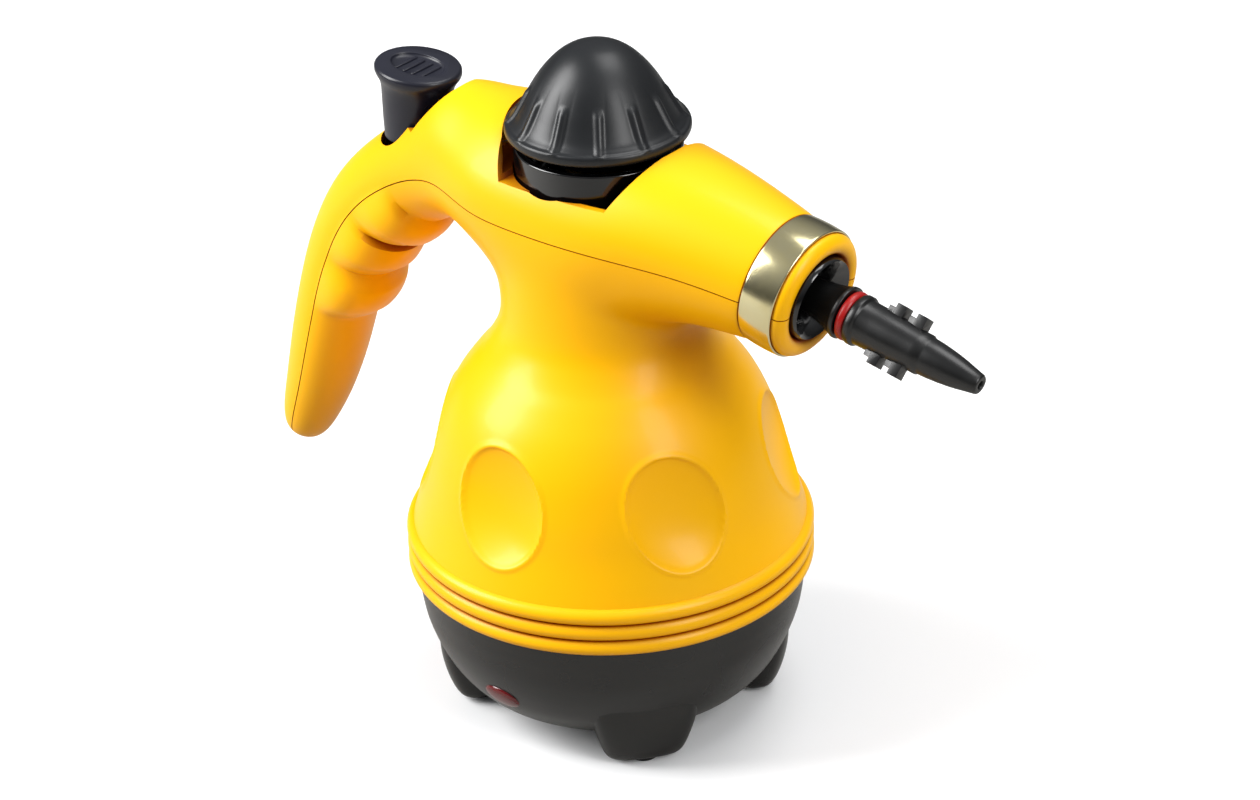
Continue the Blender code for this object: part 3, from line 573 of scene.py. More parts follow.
class Finish(Enum):
    """Every finish on the object, by the real material and how it was made."""

    # Bright injection-moulded ABS: yellow with an orange-peel skin, with painted amber shade that an
    # ambient-occlusion mask mixes into folds and creases
    YELLOW_ABS = Moulded(
        "moulded_yellow_abs",
        # the last two values are the painted crease shade colour and how far its ambient occlusion looks
        *("FFC300", "FFB900", 0.37, 1.6, 0.005, 60, 0.03, 0.05, "A04400", 22.0),
        specular=0.24,
    )
    # Satin polypropylene: warm black with a soft broad sheen and a fine spark-eroded texture
    BLACK_PP = Moulded(
        "satin_black_polypropylene", "0A0A0A", "111110", 0.27, 0.35, 0.005, 40, 0.04, specular=0.45
    )
    # Polished glass-filled nylon: near-black and wet-looking, with faint flow marks
    GLOSS_NYLON = Moulded("polished_black_nylon", "040404", "070708", 0.14, 2.5, 0.004, 22, 0.03, 0.4)
    # Matt-gloss nylon of the nozzle: black, slightly grainy where the mould was blasted
    NOZZLE_NYLON = Moulded("blasted_black_nylon", "040404", "070707", 0.34, 0.5, 0.008, 18, 0.06)
    # Soft-touch thermoset dome: charcoal with a silky sheen
    CHARCOAL_DOME = Moulded(
        "silky_charcoal_phenolic", "101214", "16181B", 0.38, 0.4, 0.006, 26, 0.05, specular=0.42
    )
    # Blue-grey moulded button, silky from handling
    BUTTON_ABS = Moulded(
        "silky_blue_grey_abs", "14151F", "1A1B28", 0.34, 0.4, 0.006, 18, 0.05, specular=0.42
    )
    # Tinted acrylic window: deep red that glows a little at its edge
    RED_ACRYLIC = Moulded(
        "tinted_red_acrylic",
        *("560004", "6C0006", 0.16, 3.0, 0.003, 5, 0.03, 0.3),
        translucent=0.05,
        specular=0.4,
    )
    # Red silicone O-ring: smooth, faintly dusty
    RED_SILICONE = Moulded("smooth_red_silicone", "B00B0B", "960808", 0.38, 0.8, 0.006, 4, 0.05)
    # Black rubber: matt with a chalky bloom
    BLACK_RUBBER = Moulded("matt_black_rubber", "141414", "1D1D1C", 0.72, 0.5, 0.02, 9, 0.06)
    # Grey silicone seals and pipe liner: cloudy
    GREY_SILICONE = Moulded(
        "cloudy_grey_silicone", "B4BEC0", "A5B0B3", 0.5, 0.8, 0.01, 9, 0.06, translucent=0.1
    )
    # Natural nylon: milky off-white
    WHITE_NYLON = Moulded("natural_nylon", "E6E3DA", "DAD6CB", 0.45, 0.6, 0.01, 9, 0.05)
    # Steatite: dry, finely speckled
    STEATITE = Moulded("fired_steatite", "DAD4C6", "CAC3B3", 0.62, 0.4, 0.02, 3, 0.05)
    # Lamp glass with a peach glow
    LAMP_GLASS = Moulded("neon_lamp_glass", "EDB890", "F2C8A6", 0.08, 5.0, 0.002, 4, 0.02, translucent=0.7)
    # Silicone-sleeved leads
    BROWN_LEAD = Moulded("brown_silicone_sleeve", "5A3A22", "4B2F1B", 0.5, 0.5, 0.01, 7, 0.05)
    BLUE_LEAD = Moulded("blue_silicone_sleeve", "2C4F9E", "244389", 0.5, 0.5, 0.01, 7, 0.05)
    # Polished plating with a warm cast, so its bands of reflection read as pale gold
    TRIM_CHROME = Metal("polished_warm_chrome", "D9D1AC", "CBBF8C", 0.17, (6.0, 6.0, 6.0), 0.001, 0.03)
    # Die-cast aluminium: dull grey with a blasted grain
    CAST_ALUMINIUM = Metal("blasted_cast_aluminium", "B4B6B8", "A2A5A8", 0.45, (0.7, 0.7, 0.7), 0.03)
    # Turned brass: fine rings round the vertical axis
    TURNED_BRASS = Metal("turned_brass", "C9A24A", "B68E3C", 0.28, (9.0, 9.0, 0.25), 0.006)
    # Zinc-plated steel: bluish grey and slightly cloudy
    ZINC_STEEL = Metal("zinc_plated_steel", "B3B7BB", "9DA2A8", 0.30, (2.0, 2.0, 2.0), 0.004)
    # Drawn stainless wire: bright with lengthwise streaks
    SPRING_WIRE = Metal("drawn_spring_wire", "9A9EA1", "85898C", 0.26, (0.5, 0.5, 2.0), 0.003)


class Body(Enum):
    """The bodies that the pieces ride on."""

    HOUSING = "housing"
    BUTTON = "steam_button"
    DOME = "cap_dome"


class Paints:
    """Makes each finish's material once and gives it to finished pieces."""

    def __init__(self) -> None:
        """Starts with nothing made."""
        self.made: dict[Finish, Material] = {}

    def get(self, finish: Finish) -> Material:
        """Gives the material of a finish, made the first time.

        Args:
            finish: the finish.

        Returns:
            Its material.
        """
        if finish not in self.made:
            self.made[finish] = finish.value.make()
        return self.made[finish]

    def deliver(self, obj: Part, body: Body, slot: str, finish: Finish, *nodes: str) -> None:
        """Gives a finished piece its material and its body, and hides the nodes it stands for.

        Args:
            obj: the piece.
            body: the body that it rides on.
            slot: not used.
            finish: its finish.
            nodes: the CAD nodes that it replaces.
        """
        obj.data.materials.clear()
        obj.data.materials.append(self.get(finish))
        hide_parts(*nodes)
        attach(obj, body.value)
        log.info("%s: %d faces for %s", obj.name, len(obj.data.polygons), ", ".join(nodes))


# --- body shells --------------------------------------------------------------------------------


@dataclass
class SnoutAxis:
    """The tilted line that the snout, its ring and the nozzle are turned about."""

    x: float = 74.0
    z: float = 181.0
    tilt: float = 11.0

    def forward(self) -> Vector:
        """The unit direction out of the snout."""
        angle = math.radians(self.tilt)
        return Vector((math.cos(angle), 0, -math.sin(angle)))

    def place(self) -> Matrix:
        """Stands a mesh that was turned about Z on this axis."""
        turn = Matrix.Rotation(math.pi / 2 + math.radians(self.tilt), 4, "Y")
        return Matrix.Translation(Vector((self.x, 0, self.z)) * MM) @ turn


@dataclass
class YellowShells:
    """The two moulded shells: bell, neck, handle and snout, parted along the middle line."""

    paints: Paints
    axis: SnoutAxis
    sides: int = 16
    smoothing: int = 3
    wall: float = 2.0
    seam: float = 0.2
    neck_radius: float = 34.0
    neck_line: Point = (170.0, 156.0)
    neck_blend: Point = (134.0, 141.0)
    neck_top: float = 174.0
    neck_flare: float = 4.5
    front_drop: float = 17.5
    back_drop: float = 14.5
    throat_z: float = 162.0
    throat_flare: float = 1.5
    throat_drop: float = 9.5
    first_joined: int = 16
    last_joined: int = 20
    belt_radius: float = 69.0
    belt_bottom: float = 53.0
    belt_top: float = 70.4
    ridge_root: float = 0.8
    ridge_depth: float = 2.5
    ridges: int = 3
    dent_half_width: float = 16.8
    dent_half_height: float = 20.6
    dent_tilt: float = 20.0
    dent_height: float = 98.4
    dent_depth: float = 5.2
    dent_angle: float = -28.6
    dents: int = 6
    dent_stretch: float = 1.06
    dent_zone: Point = (74.0, 123.0)
    dent_reach: float = 1.22
    dent_power: float = 0.8
    dent_rim: tuple[float, float, float] = (0.45, 1.03, 0.05)
    core_radius: float = 30.0
    bell_core: float = 50.0
    handle_start: float = -80.0
    grip_start: float = -52.0
    bell_shoulder: Point = (75.0, 140.0)
    bump_fade: Point = (-0.1, 0.75)
    bump_power: float = 0.52
    bump_depth: float = 6.0
    bump_knots: tuple[Point, ...] = ((-82.0, 177.4), (-100.5, 161.6), (-113.4, 140.8), (-121.7, 118.4))
    opening_radius: float = 31.8
    lower_opening: float = 30.6
    saddle_z: float = 201.0
    ledge_bore: float = 30.3
    ledge_shift: float = 2.2
    button_x: float = -80.0
    snout_reach: float = 40.0
    stations: list[tuple[float, float, float, float, float]] = field(
        default_factory=lambda: [
            (-146.2, 55.0, 4.6, 4.6, 4.6),
            (-145.6, 56.4, 7.2, 7.0, 7.0),
            (-144.0, 60.0, 9.2, 9.2, 9.0),
            (-141.0, 67.0, 10.8, 11.0, 10.6),
            (-135.2, 79.5, 12.8, 13.2, 12.0),
            (-129.0, 96.0, 14.6, 15.2, 12.8),
            (-124.6, 109.0, 15.2, 16.0, 12.6),
            (-120.6, 122.0, 15.4, 16.2, 13.4),
            (-116.0, 135.0, 15.5, 16.4, 15.4),
            (-110.0, 148.0, 15.6, 16.6, 16.2),
            (-102.6, 159.6, 15.8, 16.8, 17.0),
            (-93.0, 169.4, 16.2, 17.0, 17.6),
            (-81.0, 178.0, 17.0, 17.8, 19.6),
            (-69.0, 184.0, 18.6, 20.0, 18.6),
            (-57.0, 187.2, 21.5, 30.9, 19.4),
            (-46.0, 188.0, 26.0, 28.4, 21.0),
            (-34.0, 187.6, 31.0, 30.4, 25.2),
            (-18.0, 187.2, 33.4, 31.6, 30.5),
            (0.0, 187.0, 34.0, 31.0, 31.0),
            (18.0, 187.2, 33.4, 29.0, 30.5),
            (34.0, 187.4, 31.0, 26.4, 28.5),
            (54.0, 184.9, 26.6, 24.6, 26.0),
            (74.0, 181.0, 22.6, 22.6, 22.6),
        ]
    )
    nose: tuple[Point, ...] = (
        (0.15, 22.3),
        (0.2, 21.4),
        (6.0, 21.4),
        (13.2, 21.4),
        (13.6, 21.7),
        (15.2, 21.2),
        (16.5, 19.4),
        (16.8, 17.9),
        (16.4, 16.2),
        (15.2, 15.1),
        (12.0, 14.9),
        (6.0, 14.9),
    )
    bell: tuple[Point, ...] = (
        (34.6, 149.0),
        (36.6, 142.5),
        (40.6, 136.0),
        (45.6, 130.0),
        (51.6, 121.5),
        (56.6, 111.0),
        (60.6, 98.0),
        (63.8, 85.0),
        (66.8, 75.0),
        (68.1, 71.4),
    )

    def middle_line(self) -> list[Vector]:
        """The middle of each cross-section, in the plane Y = 0."""
        return [Vector((x, 0, z)) for x, z, *_ in self.stations]

    @staticmethod
    def swell(sides: int) -> float:
        """How far a ring of so many points stands out, so that smoothing brings it back to its size."""
        return 6 / (4 + 2 * math.cos(2 * math.pi / sides))

    def cross_sections(self) -> list[list[Vector]]:
        """Draws rings along the handle, the saddle, the snout and its lip.

        Returns:
            The rings, each with as many points as there are sides.
        """
        swell = self.swell(self.sides)
        centres = self.middle_line()
        forward = self.axis.forward()
        rings = []
        for i, (_, _, width, above, below) in enumerate(self.stations):
            before, after = centres[max(i - 1, 0)], centres[min(i + 1, len(centres) - 1)]
            tangent = (after - before).normalized() if i < len(centres) - 1 else forward
            rings.append(self._ring(centres[i], tangent, width * swell, above * swell, below * swell))
        for ahead, radius in self.nose:
            r = radius * swell
            rings.append(self._ring(centres[-1] + forward * ahead, forward, r, r, r))
        return rings

    def _ring(
        self, centre: Vector, tangent: Vector, width: float, above: float, below: float
    ) -> list[Vector]:
        """Draws one cross-section: half an oval above the middle line and half below.

        Args:
            centre: the middle, in millimetres.
            tangent: the direction that the section faces.
            width: half width.
            above: height over the middle line.
            below: depth under it.

        Returns:
            The points of the ring.
        """
        up = Vector((-tangent.z, 0, tangent.x))
        ring = []
        for k in range(self.sides):
            angle = 2 * math.pi * k / self.sides
            rise = math.sin(angle) * (above if math.sin(angle) > 0 else below)
            ring.append(centre + Vector((0, width * math.cos(angle), 0)) + up * rise)
        return ring

    def cage(self) -> Shape:
        """Builds the coarse mesh of both shells.

        Returns:
            The mesh in metres; the cover's faces have material index 1 and the others 0.
        """
        shape = bmesh.new()
        last_side, first_side = self.sides - 1, self.sides // 2 + 1
        rows: list[list[bmesh.types.BMVert | None]] = []
        for i, ring in enumerate(self.cross_sections()):
            inside = self.first_joined < i < self.last_joined
            rows.append(
                [
                    None if inside and first_side < k < last_side else shape.verts.new(p * MM)
                    for k, p in enumerate(ring)
                ]
            )
        for i, (row, after) in enumerate(zip(rows, rows[1:])):
            joined = self.first_joined <= i < self.last_joined
            for k in range(self.sides):
                if joined and first_side <= k < last_side:
                    continue
                n = (k + 1) % self.sides
                face = shape.faces.new((row[k], row[n], after[n], after[k]))
                face.material_index = 1 if k < self.sides // 2 else 0
        tip, half = rows[0], self.sides // 2
        shape.faces.new(tip[: half + 1]).material_index = 1
        shape.faces.new([*tip[half:], tip[0]]).material_index = 0
        self._add_neck(shape, rows, first_side, last_side)
        bmesh.ops.recalc_face_normals(shape, faces=shape.faces)
        return shape

    def _add_neck(self, shape: Shape, rows: list, first_side: int, last_side: int) -> None:
        """Joins the neck, the bell and the belt to the gap left under the saddle.

        Args:
            shape: the mesh that grows.
            rows: vertices of each cross-section, None where the gap is.
            first_side: first side of the gap.
            last_side: last side of the gap.
        """
        a, b = self.first_joined, self.last_joined
        middle = (a + b) // 2
        loop = [rows[i][last_side] for i in range(middle, b)]
        loop += [rows[b][k] for k in range(last_side, first_side - 1, -1)]
        loop += [rows[i][first_side] for i in range(b - 1, a, -1)]
        loop += [rows[a][k] for k in range(first_side, last_side + 1)]
        loop += [rows[i][last_side] for i in range(a + 1, middle)]
        count = len(loop)
        angles = [math.pi / 2 - 2 * math.pi * j / count for j in range(count)]
        swell = self.swell(count)

        def spot(angle: float, r: float, z: float) -> Vector:
            """The point in metres at this angle, radius and height."""
            return Vector((r * swell * MM * math.cos(angle), r * swell * MM * math.sin(angle), z * MM))

        throat = []
        for vert, angle in zip(loop, angles):
            share = abs(math.cos(angle))
            drop = self.front_drop if math.cos(angle) > 0 else self.back_drop
            wide = self.neck_radius + self.neck_flare * share**3
            vert.co = spot(angle, wide, self.neck_top - drop * share**2)
            wide = self.neck_radius + self.throat_flare * share**3
            low = self.throat_z - self.throat_drop * share**2
            throat.append(shape.verts.new(spot(angle, wide, low)))
        rings = [loop, throat]
        for r, z in [*self.bell, *self._belt_rows()]:
            rings.append([shape.verts.new(spot(angle, r, z)) for angle in angles])
        for upper, lower in zip(rings, rings[1:]):
            for j in range(count):
                n = (j + 1) % count
                shape.faces.new((upper[j], upper[n], lower[n], lower[j])).material_index = 0

    def _belt_rows(self) -> list[Point]:
        """Coarse rows down the belt, two to a ridge."""
        pitch = (self.belt_top - self.belt_bottom) / self.ridges
        return [(self.belt_radius, self.belt_top - pitch * i / 2) for i in range(2 * self.ridges + 1)]

    def bell_radius(self) -> Callable[[float], float]:
        """Draws the smooth outline of the neck, the bell and the ridged belt.

        Returns:
            A function of the height that gives the radius.
        """
        neck = [(self.neck_radius, z) for z in self.neck_line]
        plain = height_lookup(curve_through([*neck, *self.bell[:-1]], 12))
        pitch = (self.belt_top - self.belt_bottom) / self.ridges
        shoulder, blend_top = self.bell[-2]
        root = self.belt_radius - self.ridge_root

        def radius(height: float) -> float:
            """Reads the radius, with the ridges under belt_top.

            Args:
                height: the height.

            Returns:
                The radius there.
            """
            if height > blend_top:
                return plain(height)
            if height > self.belt_top:
                share = (blend_top - height) / (blend_top - self.belt_top)
                return shoulder + (root - shoulder) * share
            share = ((self.belt_top - height) / pitch) % 1.0
            if height <= self.belt_bottom + 1e-4:
                share = 1.0
            return root + self.ridge_depth * math.sqrt(max(0.0, math.sin(math.pi * share)))

        return radius

    def dent_distance(self, point: Vector) -> float:
        """Measures how far a point is from the nearest thumb dent's middle.

        Args:
            point: the point, in millimetres.

        Returns:
            The distance as a share of the dent's size.
        """
        r = math.hypot(point.x, point.y)
        spacing = 360 / self.dents
        turned = math.degrees(math.atan2(point.y, point.x)) - self.dent_angle
        off = (turned + spacing / 2) % spacing - spacing / 2
        across = math.radians(off) * r
        upward = (point.z - self.dent_height) * self.dent_stretch
        c, s = math.cos(math.radians(self.dent_tilt)), math.sin(math.radians(self.dent_tilt))
        wide, high = across * c + upward * s, upward * c - across * s
        return math.hypot(wide / self.dent_half_width, high / self.dent_half_height)

    def shape_surface(self, shape: Shape) -> None:
        """Moves the smoothed mesh onto the true outline, then presses in the dents and grip.

        Args:
            shape: the mesh of both shells, in metres.
        """
        radius = self.bell_radius()
        low, high = self.dent_zone
        refined = [
            f
            for f in shape.faces
            if low + 2 < f.calc_center_median().z / MM < high - 2
            and f.material_index == 0
            and math.hypot(f.verts[0].co.x, f.verts[0].co.y) > self.bell_core * MM
            and any(self.dent_distance(v.co / MM) < self.dent_reach for v in f.verts)
        ]
        edges = list({e for f in refined for e in f.edges})
        bmesh.ops.subdivide_edges(shape, edges=edges, cuts=2, use_grid_fill=True)
        rim, rim_place, rim_width = self.dent_rim
        for vert in shape.verts:
            p = vert.co / MM
            flat = math.hypot(p.x, p.y)
            if p.z < self.neck_blend[1] and p.x > self.handle_start and self.core_radius < flat:
                r = radius(p.z)
                keep = smoothstep(*self.neck_blend, p.z)
                r = r * (1 - keep) + flat * keep
                e = self.dent_distance(p)
                if low < p.z < high:
                    r -= self.dent_depth * max(0.0, 1 - e * e) ** self.dent_power
                    r += rim * math.exp(-(((e - rim_place) / rim_width) ** 2))
                vert.co.x, vert.co.y = p.x * r / flat * MM, p.y * r / flat * MM
        self._press_grip(shape)

    def _press_grip(self, shape: Shape) -> None:
        """Raises the three finger bumps along the handle's inner side.

        Args:
            shape: the mesh of both shells, in metres.
        """
        line = self.middle_line()
        lengths = [0.0]
        for a, b in zip(line, line[1:]):
            lengths.append(lengths[-1] + (b - a).length)
        knots = sorted(self._along(line, lengths, Vector((x, 0, z)))[0] for x, z in self.bump_knots)
        low, high = knots[0], knots[-1]
        for vert in shape.verts:
            p = vert.co / MM
            on_bell = math.hypot(p.x, p.y) < self.bell_shoulder[0] and p.z < self.bell_shoulder[1]
            if p.x > self.grip_start or on_bell:
                continue
            along, middle, tangent = self._along(line, lengths, Vector((p.x, 0, p.z)))
            if not low - 1 < along < high + 1:
                continue
            offset = p - middle
            down = offset.dot(Vector((tangent.z, 0, -tangent.x))) / max(offset.length, 1e-6)
            weight = smoothstep(*self.bump_fade, down)
            if weight <= 0:
                continue
            for start, end in zip(knots, knots[1:]):
                if start <= along <= end:
                    wave = math.sin(math.pi * (along - start) / (end - start)) ** self.bump_power
                    vert.co = (middle + offset * (1 + weight * self.bump_depth * wave / offset.length)) * MM
                    break

    @staticmethod
    def _along(line: list[Vector], lengths: list[float], point: Vector) -> tuple[float, Vector, Vector]:
        """Finds the place on a line that is nearest to a point.

        Args:
            line: the line's points.
            lengths: the length along the line at each of them.
            point: the point.

        Returns:
            The length along the line, the spot and the direction there.
        """
        best = (1e9, 0.0, line[0], line[1] - line[0])
        for i, (a, b) in enumerate(zip(line, line[1:])):
            step = b - a
            share = min(1.0, max(0.0, (point - a).dot(step) / step.length_squared))
            spot = a + step * share
            distance = (point - spot).length
            if distance < best[0]:
                best = (distance, lengths[i] + step.length * share, spot, step.normalized())
        return best[1], best[2], best[3]

    def part_shells(self, shape: Shape) -> tuple[Shape, Shape]:
        """Splits the surface along the seam and draws the two edges a little apart.

        Args:
            shape: the mesh of both shells, which is freed.

        Returns:
            The lower shell and the cover.
        """
        seam = [e for e in shape.edges if len({f.material_index for f in e.link_faces}) == 2]
        spots = {v.index for e in seam for v in e.verts}
        line = self.middle_line()
        line.append(line[-1] + self.axis.forward() * self.snout_reach)
        lengths = [0.0] * len(line)
        shape.verts.index_update()
        halves = []
        for wanted in (0, 1):
            half = shape.copy()
            half.verts.ensure_lookup_table()
            sign = 1 if wanted else -1
            for index in spots:
                vert = half.verts[index]
                _, _, tangent = self._along(line, lengths, Vector((vert.co.x, 0, vert.co.z)) / MM)
                vert.co += Vector((-tangent.z, 0, tangent.x)) * sign * self.seam * MM
            others = [f for f in half.faces if f.material_index != wanted]
            bmesh.ops.delete(half, geom=others, context="FACES")
            halves.append(half)
        shape.free()
        return halves[0], halves[1]

    def ledge(self) -> Part:
        """Makes the flat ledge inside the saddle that closes the gap round the collar.

        Returns:
            The ledge with its bore.
        """
        widths = [(-34.0, 26.4), (-18.0, 28.9), (-6.0, 29.3), (2.0, 29.4)]
        outline = [*widths, *((x, -y) for x, y in reversed(widths))]
        heights = (self.saddle_z - 3.0, self.saddle_z + 1.5)
        plate = as_object("ledge", loft([[Vector((x, y, z)) * MM for x, y in outline] for z in heights]))
        r, low, high = self.ledge_bore, heights[0] - 2, heights[1] + 2
        profile = [(0, high), (r, high), (r, low), (0, low)]
        bore = turned("ledge_bore", profile, 128, moved(self.ledge_shift))
        return combine(plate, [bore], "DIFFERENCE")

    def openings(self) -> list[Part]:
        """Makes the cutters for the filler's opening, its low saddle and the button.

        Returns:
            The bore, the saddle, the button's hole and its scoop.
        """
        wide, low, flat = self.opening_radius, self.lower_opening, self.saddle_z
        bore_profile = [(0, 245), (wide, 245), (wide, 206), (low, 202.4), (low, 182.5), (0, 182.5)]
        bore = turned("bore", bore_profile, 128)
        outline = [(-18.6, flat), (24.6, flat), (33.0, 217), (33.0, 240), (-28.0, 240), (-28.0, 217)]
        faces = [[Vector((x, side, z)) * MM for x, z in outline] for side in (-60, 60)]
        saddle = as_object("saddle", loft(faces))
        hole_profile = [(0, 232), (13.3, 232), (13.3, 183.5), (0, 183.5)]
        hole = turned("button_hole", hole_profile, 96, moved(self.button_x))
        flare = curve_through([(22.4, 217), (19.8, 210), (17.4, 204), (16.4, 199.5)], 4)
        scoop_profile = [(0, 232), (24, 232), *flare, (0, 199.5)]
        return [bore, saddle, hole, turned("scoop", scoop_profile, 96, moved(self.button_x + 1.2))]

    def build(self) -> None:
        """Makes both shells."""
        raw = as_object("yellow_cage", self.cage())
        smooth = raw.modifiers.new("Smooth", "SUBSURF")
        smooth.levels = smooth.render_levels = self.smoothing
        settle(raw)
        shape = bmesh.new()
        shape.from_mesh(raw.data)
        bpy.data.objects.remove(raw, do_unlink=True)
        self.shape_surface(shape)
        lower, upper = self.part_shells(shape)
        for name, half in (("body_shell", lower), ("top_cover", upper)):
            obj = as_object(f"{name}_skin", half)
            wall = obj.modifiers.new("Wall", "SOLIDIFY")
            wall.thickness = self.wall * MM
            wall.offset = -1
            settle(obj)
            if half is upper:
                bore, *others = self.openings()
                combine(obj, [bore], "DIFFERENCE")
                combine(obj, [self.ledge()], "UNION")
                combine(obj, others, "DIFFERENCE")
            self.paints.deliver(obj, Body.HOUSING, "yellow_shell", Finish.YELLOW_ABS, name)


# --- snout and nozzle ---------------------------------------------------------------------------


@dataclass
class Snout:
    """The trim ring, the black socket in the snout's mouth, the nozzle and its O-ring."""

    paints: Paints
    copies: SteppedCopies
    axis: SnoutAxis
    ring_outer: float = 22.75
    ring_inner: float = 21.6
    ring_low: float = 0.45
    ring_half: float = 6.2
    ring_crown: float = 0.3
    ring_high: float = 13.0
    ring_middle: float = 6.27
    tip: float = 79.4
    lug_rows: tuple[float, float] = (43.5, 51.5)
    lug_radius: float = 8.2
    lug_angle: float = -38.0

    def ring(self) -> None:
        """The polished trim ring, slightly crowned."""
        half, middle = self.ring_half, self.ring_low + self.ring_middle
        spots = [half * (1 - i / 7) for i in range(15)]
        crown = [(self.ring_outer - self.ring_crown * (s / half) ** 2, middle + s) for s in spots]
        profile = [(self.ring_inner, self.ring_high), *crown, (self.ring_inner, self.ring_low)]
        obj = rounded(turned("snout_trim_ring", profile, 256, ring=True), 0.35, 4, 40)
        obj.data.transform(self.axis.place())
        self.paints.deliver(obj, Body.HOUSING, "chrome_trim", Finish.TRIM_CHROME, "snout_ring")

    def socket(self) -> None:
        """The trumpet-shaped socket that the nozzle comes out of."""
        mouth = [(13.9, 17.6), (12.6, 16.6), (10.9, 14.6), (9.5, 11.5), (8.4, 8.0), (7.4, 3.0), (6.4, -4.0)]
        outside = [(6.4, -10), (8.5, -10), (11, 8.6), (17.5, 8.6), (17.5, 10.6), (14.6, 10.6), (14.6, 16.6)]
        profile = [*curve_through(mouth, 6), *outside]
        obj = turned("nozzle_trumpet", profile, 112, self.axis.place(), ring=True)
        self.paints.deliver(obj, Body.HOUSING, "black_gloss", Finish.GLOSS_NYLON, "nozzle_socket")

    def nozzle(self) -> None:
        """The nozzle: neck, flange, groove for the O-ring, body with bayonet lugs and jet tip."""
        tip = self.tip
        neck = curve_through([(5.6, -12), (5.7, 6), (6.1, 14), (7.0, 20), (8.2, 24.2), (9.0, 26.2)], 6)
        front = [(9.0, 27.4), (6.4, 27.6), (6.4, 31.0), (8.2, 31.0), (8.6, 31.8), (8.6, 33.6), (7.7, 34.4)]
        barrel = [(7.6, 40), (7.4, 48), (6.9, 55.0), (6.9, 57.6), (6.4, 58.4)]
        jet = curve_through([(6.4, 58.4), (6.1, 63), (5.2, 70), (3.9, 76.4)], 5)
        bore = [(3.4, tip - 0.6), (3.0, tip), (1.5, tip), (1.2, tip - 1.4), (1.2, 66), (3, 60), (3, -12)]
        profile = [*neck, *front, *barrel, *jet[1:], *bore]
        body = rounded(turned("nozzle_body", profile, 96, ring=True), 0.3, 3, 35)
        combine(body, [self.lugs()], "UNION")
        body.data.transform(self.axis.place())
        self.paints.deliver(body, Body.HOUSING, "black_gloss", Finish.NOZZLE_NYLON, "nozzle")

    def lugs(self) -> Part:
        """Makes two pairs of stepped bayonet lugs, one pair behind the other.

        Returns:
            The lugs, placed round the vertical axis.
        """
        first, second = self.lug_rows
        lug = block((5.4, 5.6, 3.6), (self.lug_radius - 0.2, 0, first + 0.6))
        step = as_object("lug_step", block((4.0, 5.0, 3.4), (self.lug_radius - 1.2, 0, first - 1.8)))
        obj = combine(as_object("nozzle_lugs", lug), [step], "UNION")
        rounded(obj, 0.5, 3, 30)
        obj.data.transform(Matrix.Rotation(math.radians(self.lug_angle), 4, "Z"))
        finish = self.paints.get(Finish.NOZZLE_NYLON)
        self.copies.apply(obj, 2, 180, (0, 0, 0), finish)
        return self.copies.apply(obj, 2, 0, (0, 0, second - first), finish)

    def o_ring(self) -> None:
        """The red O-ring between the flange and the shoulder."""
        turns = [i * math.pi / 8 for i in range(16)]
        section = [(7.45 + 1.05 * math.cos(t), 29.3 + 1.5 * math.sin(t)) for t in turns]
        obj = turned("nozzle_seal_ring", section, 96, self.axis.place(), ring=True, sharp=80)
        self.paints.deliver(obj, Body.HOUSING, "red_rubber", Finish.RED_SILICONE, "nozzle_o_ring")

    def build(self) -> None:
        """Makes everything on the snout's axis."""
        self.ring()
        self.socket()
        self.nozzle()
        self.o_ring()


# --- base ---------------------------------------------------------------------------------------


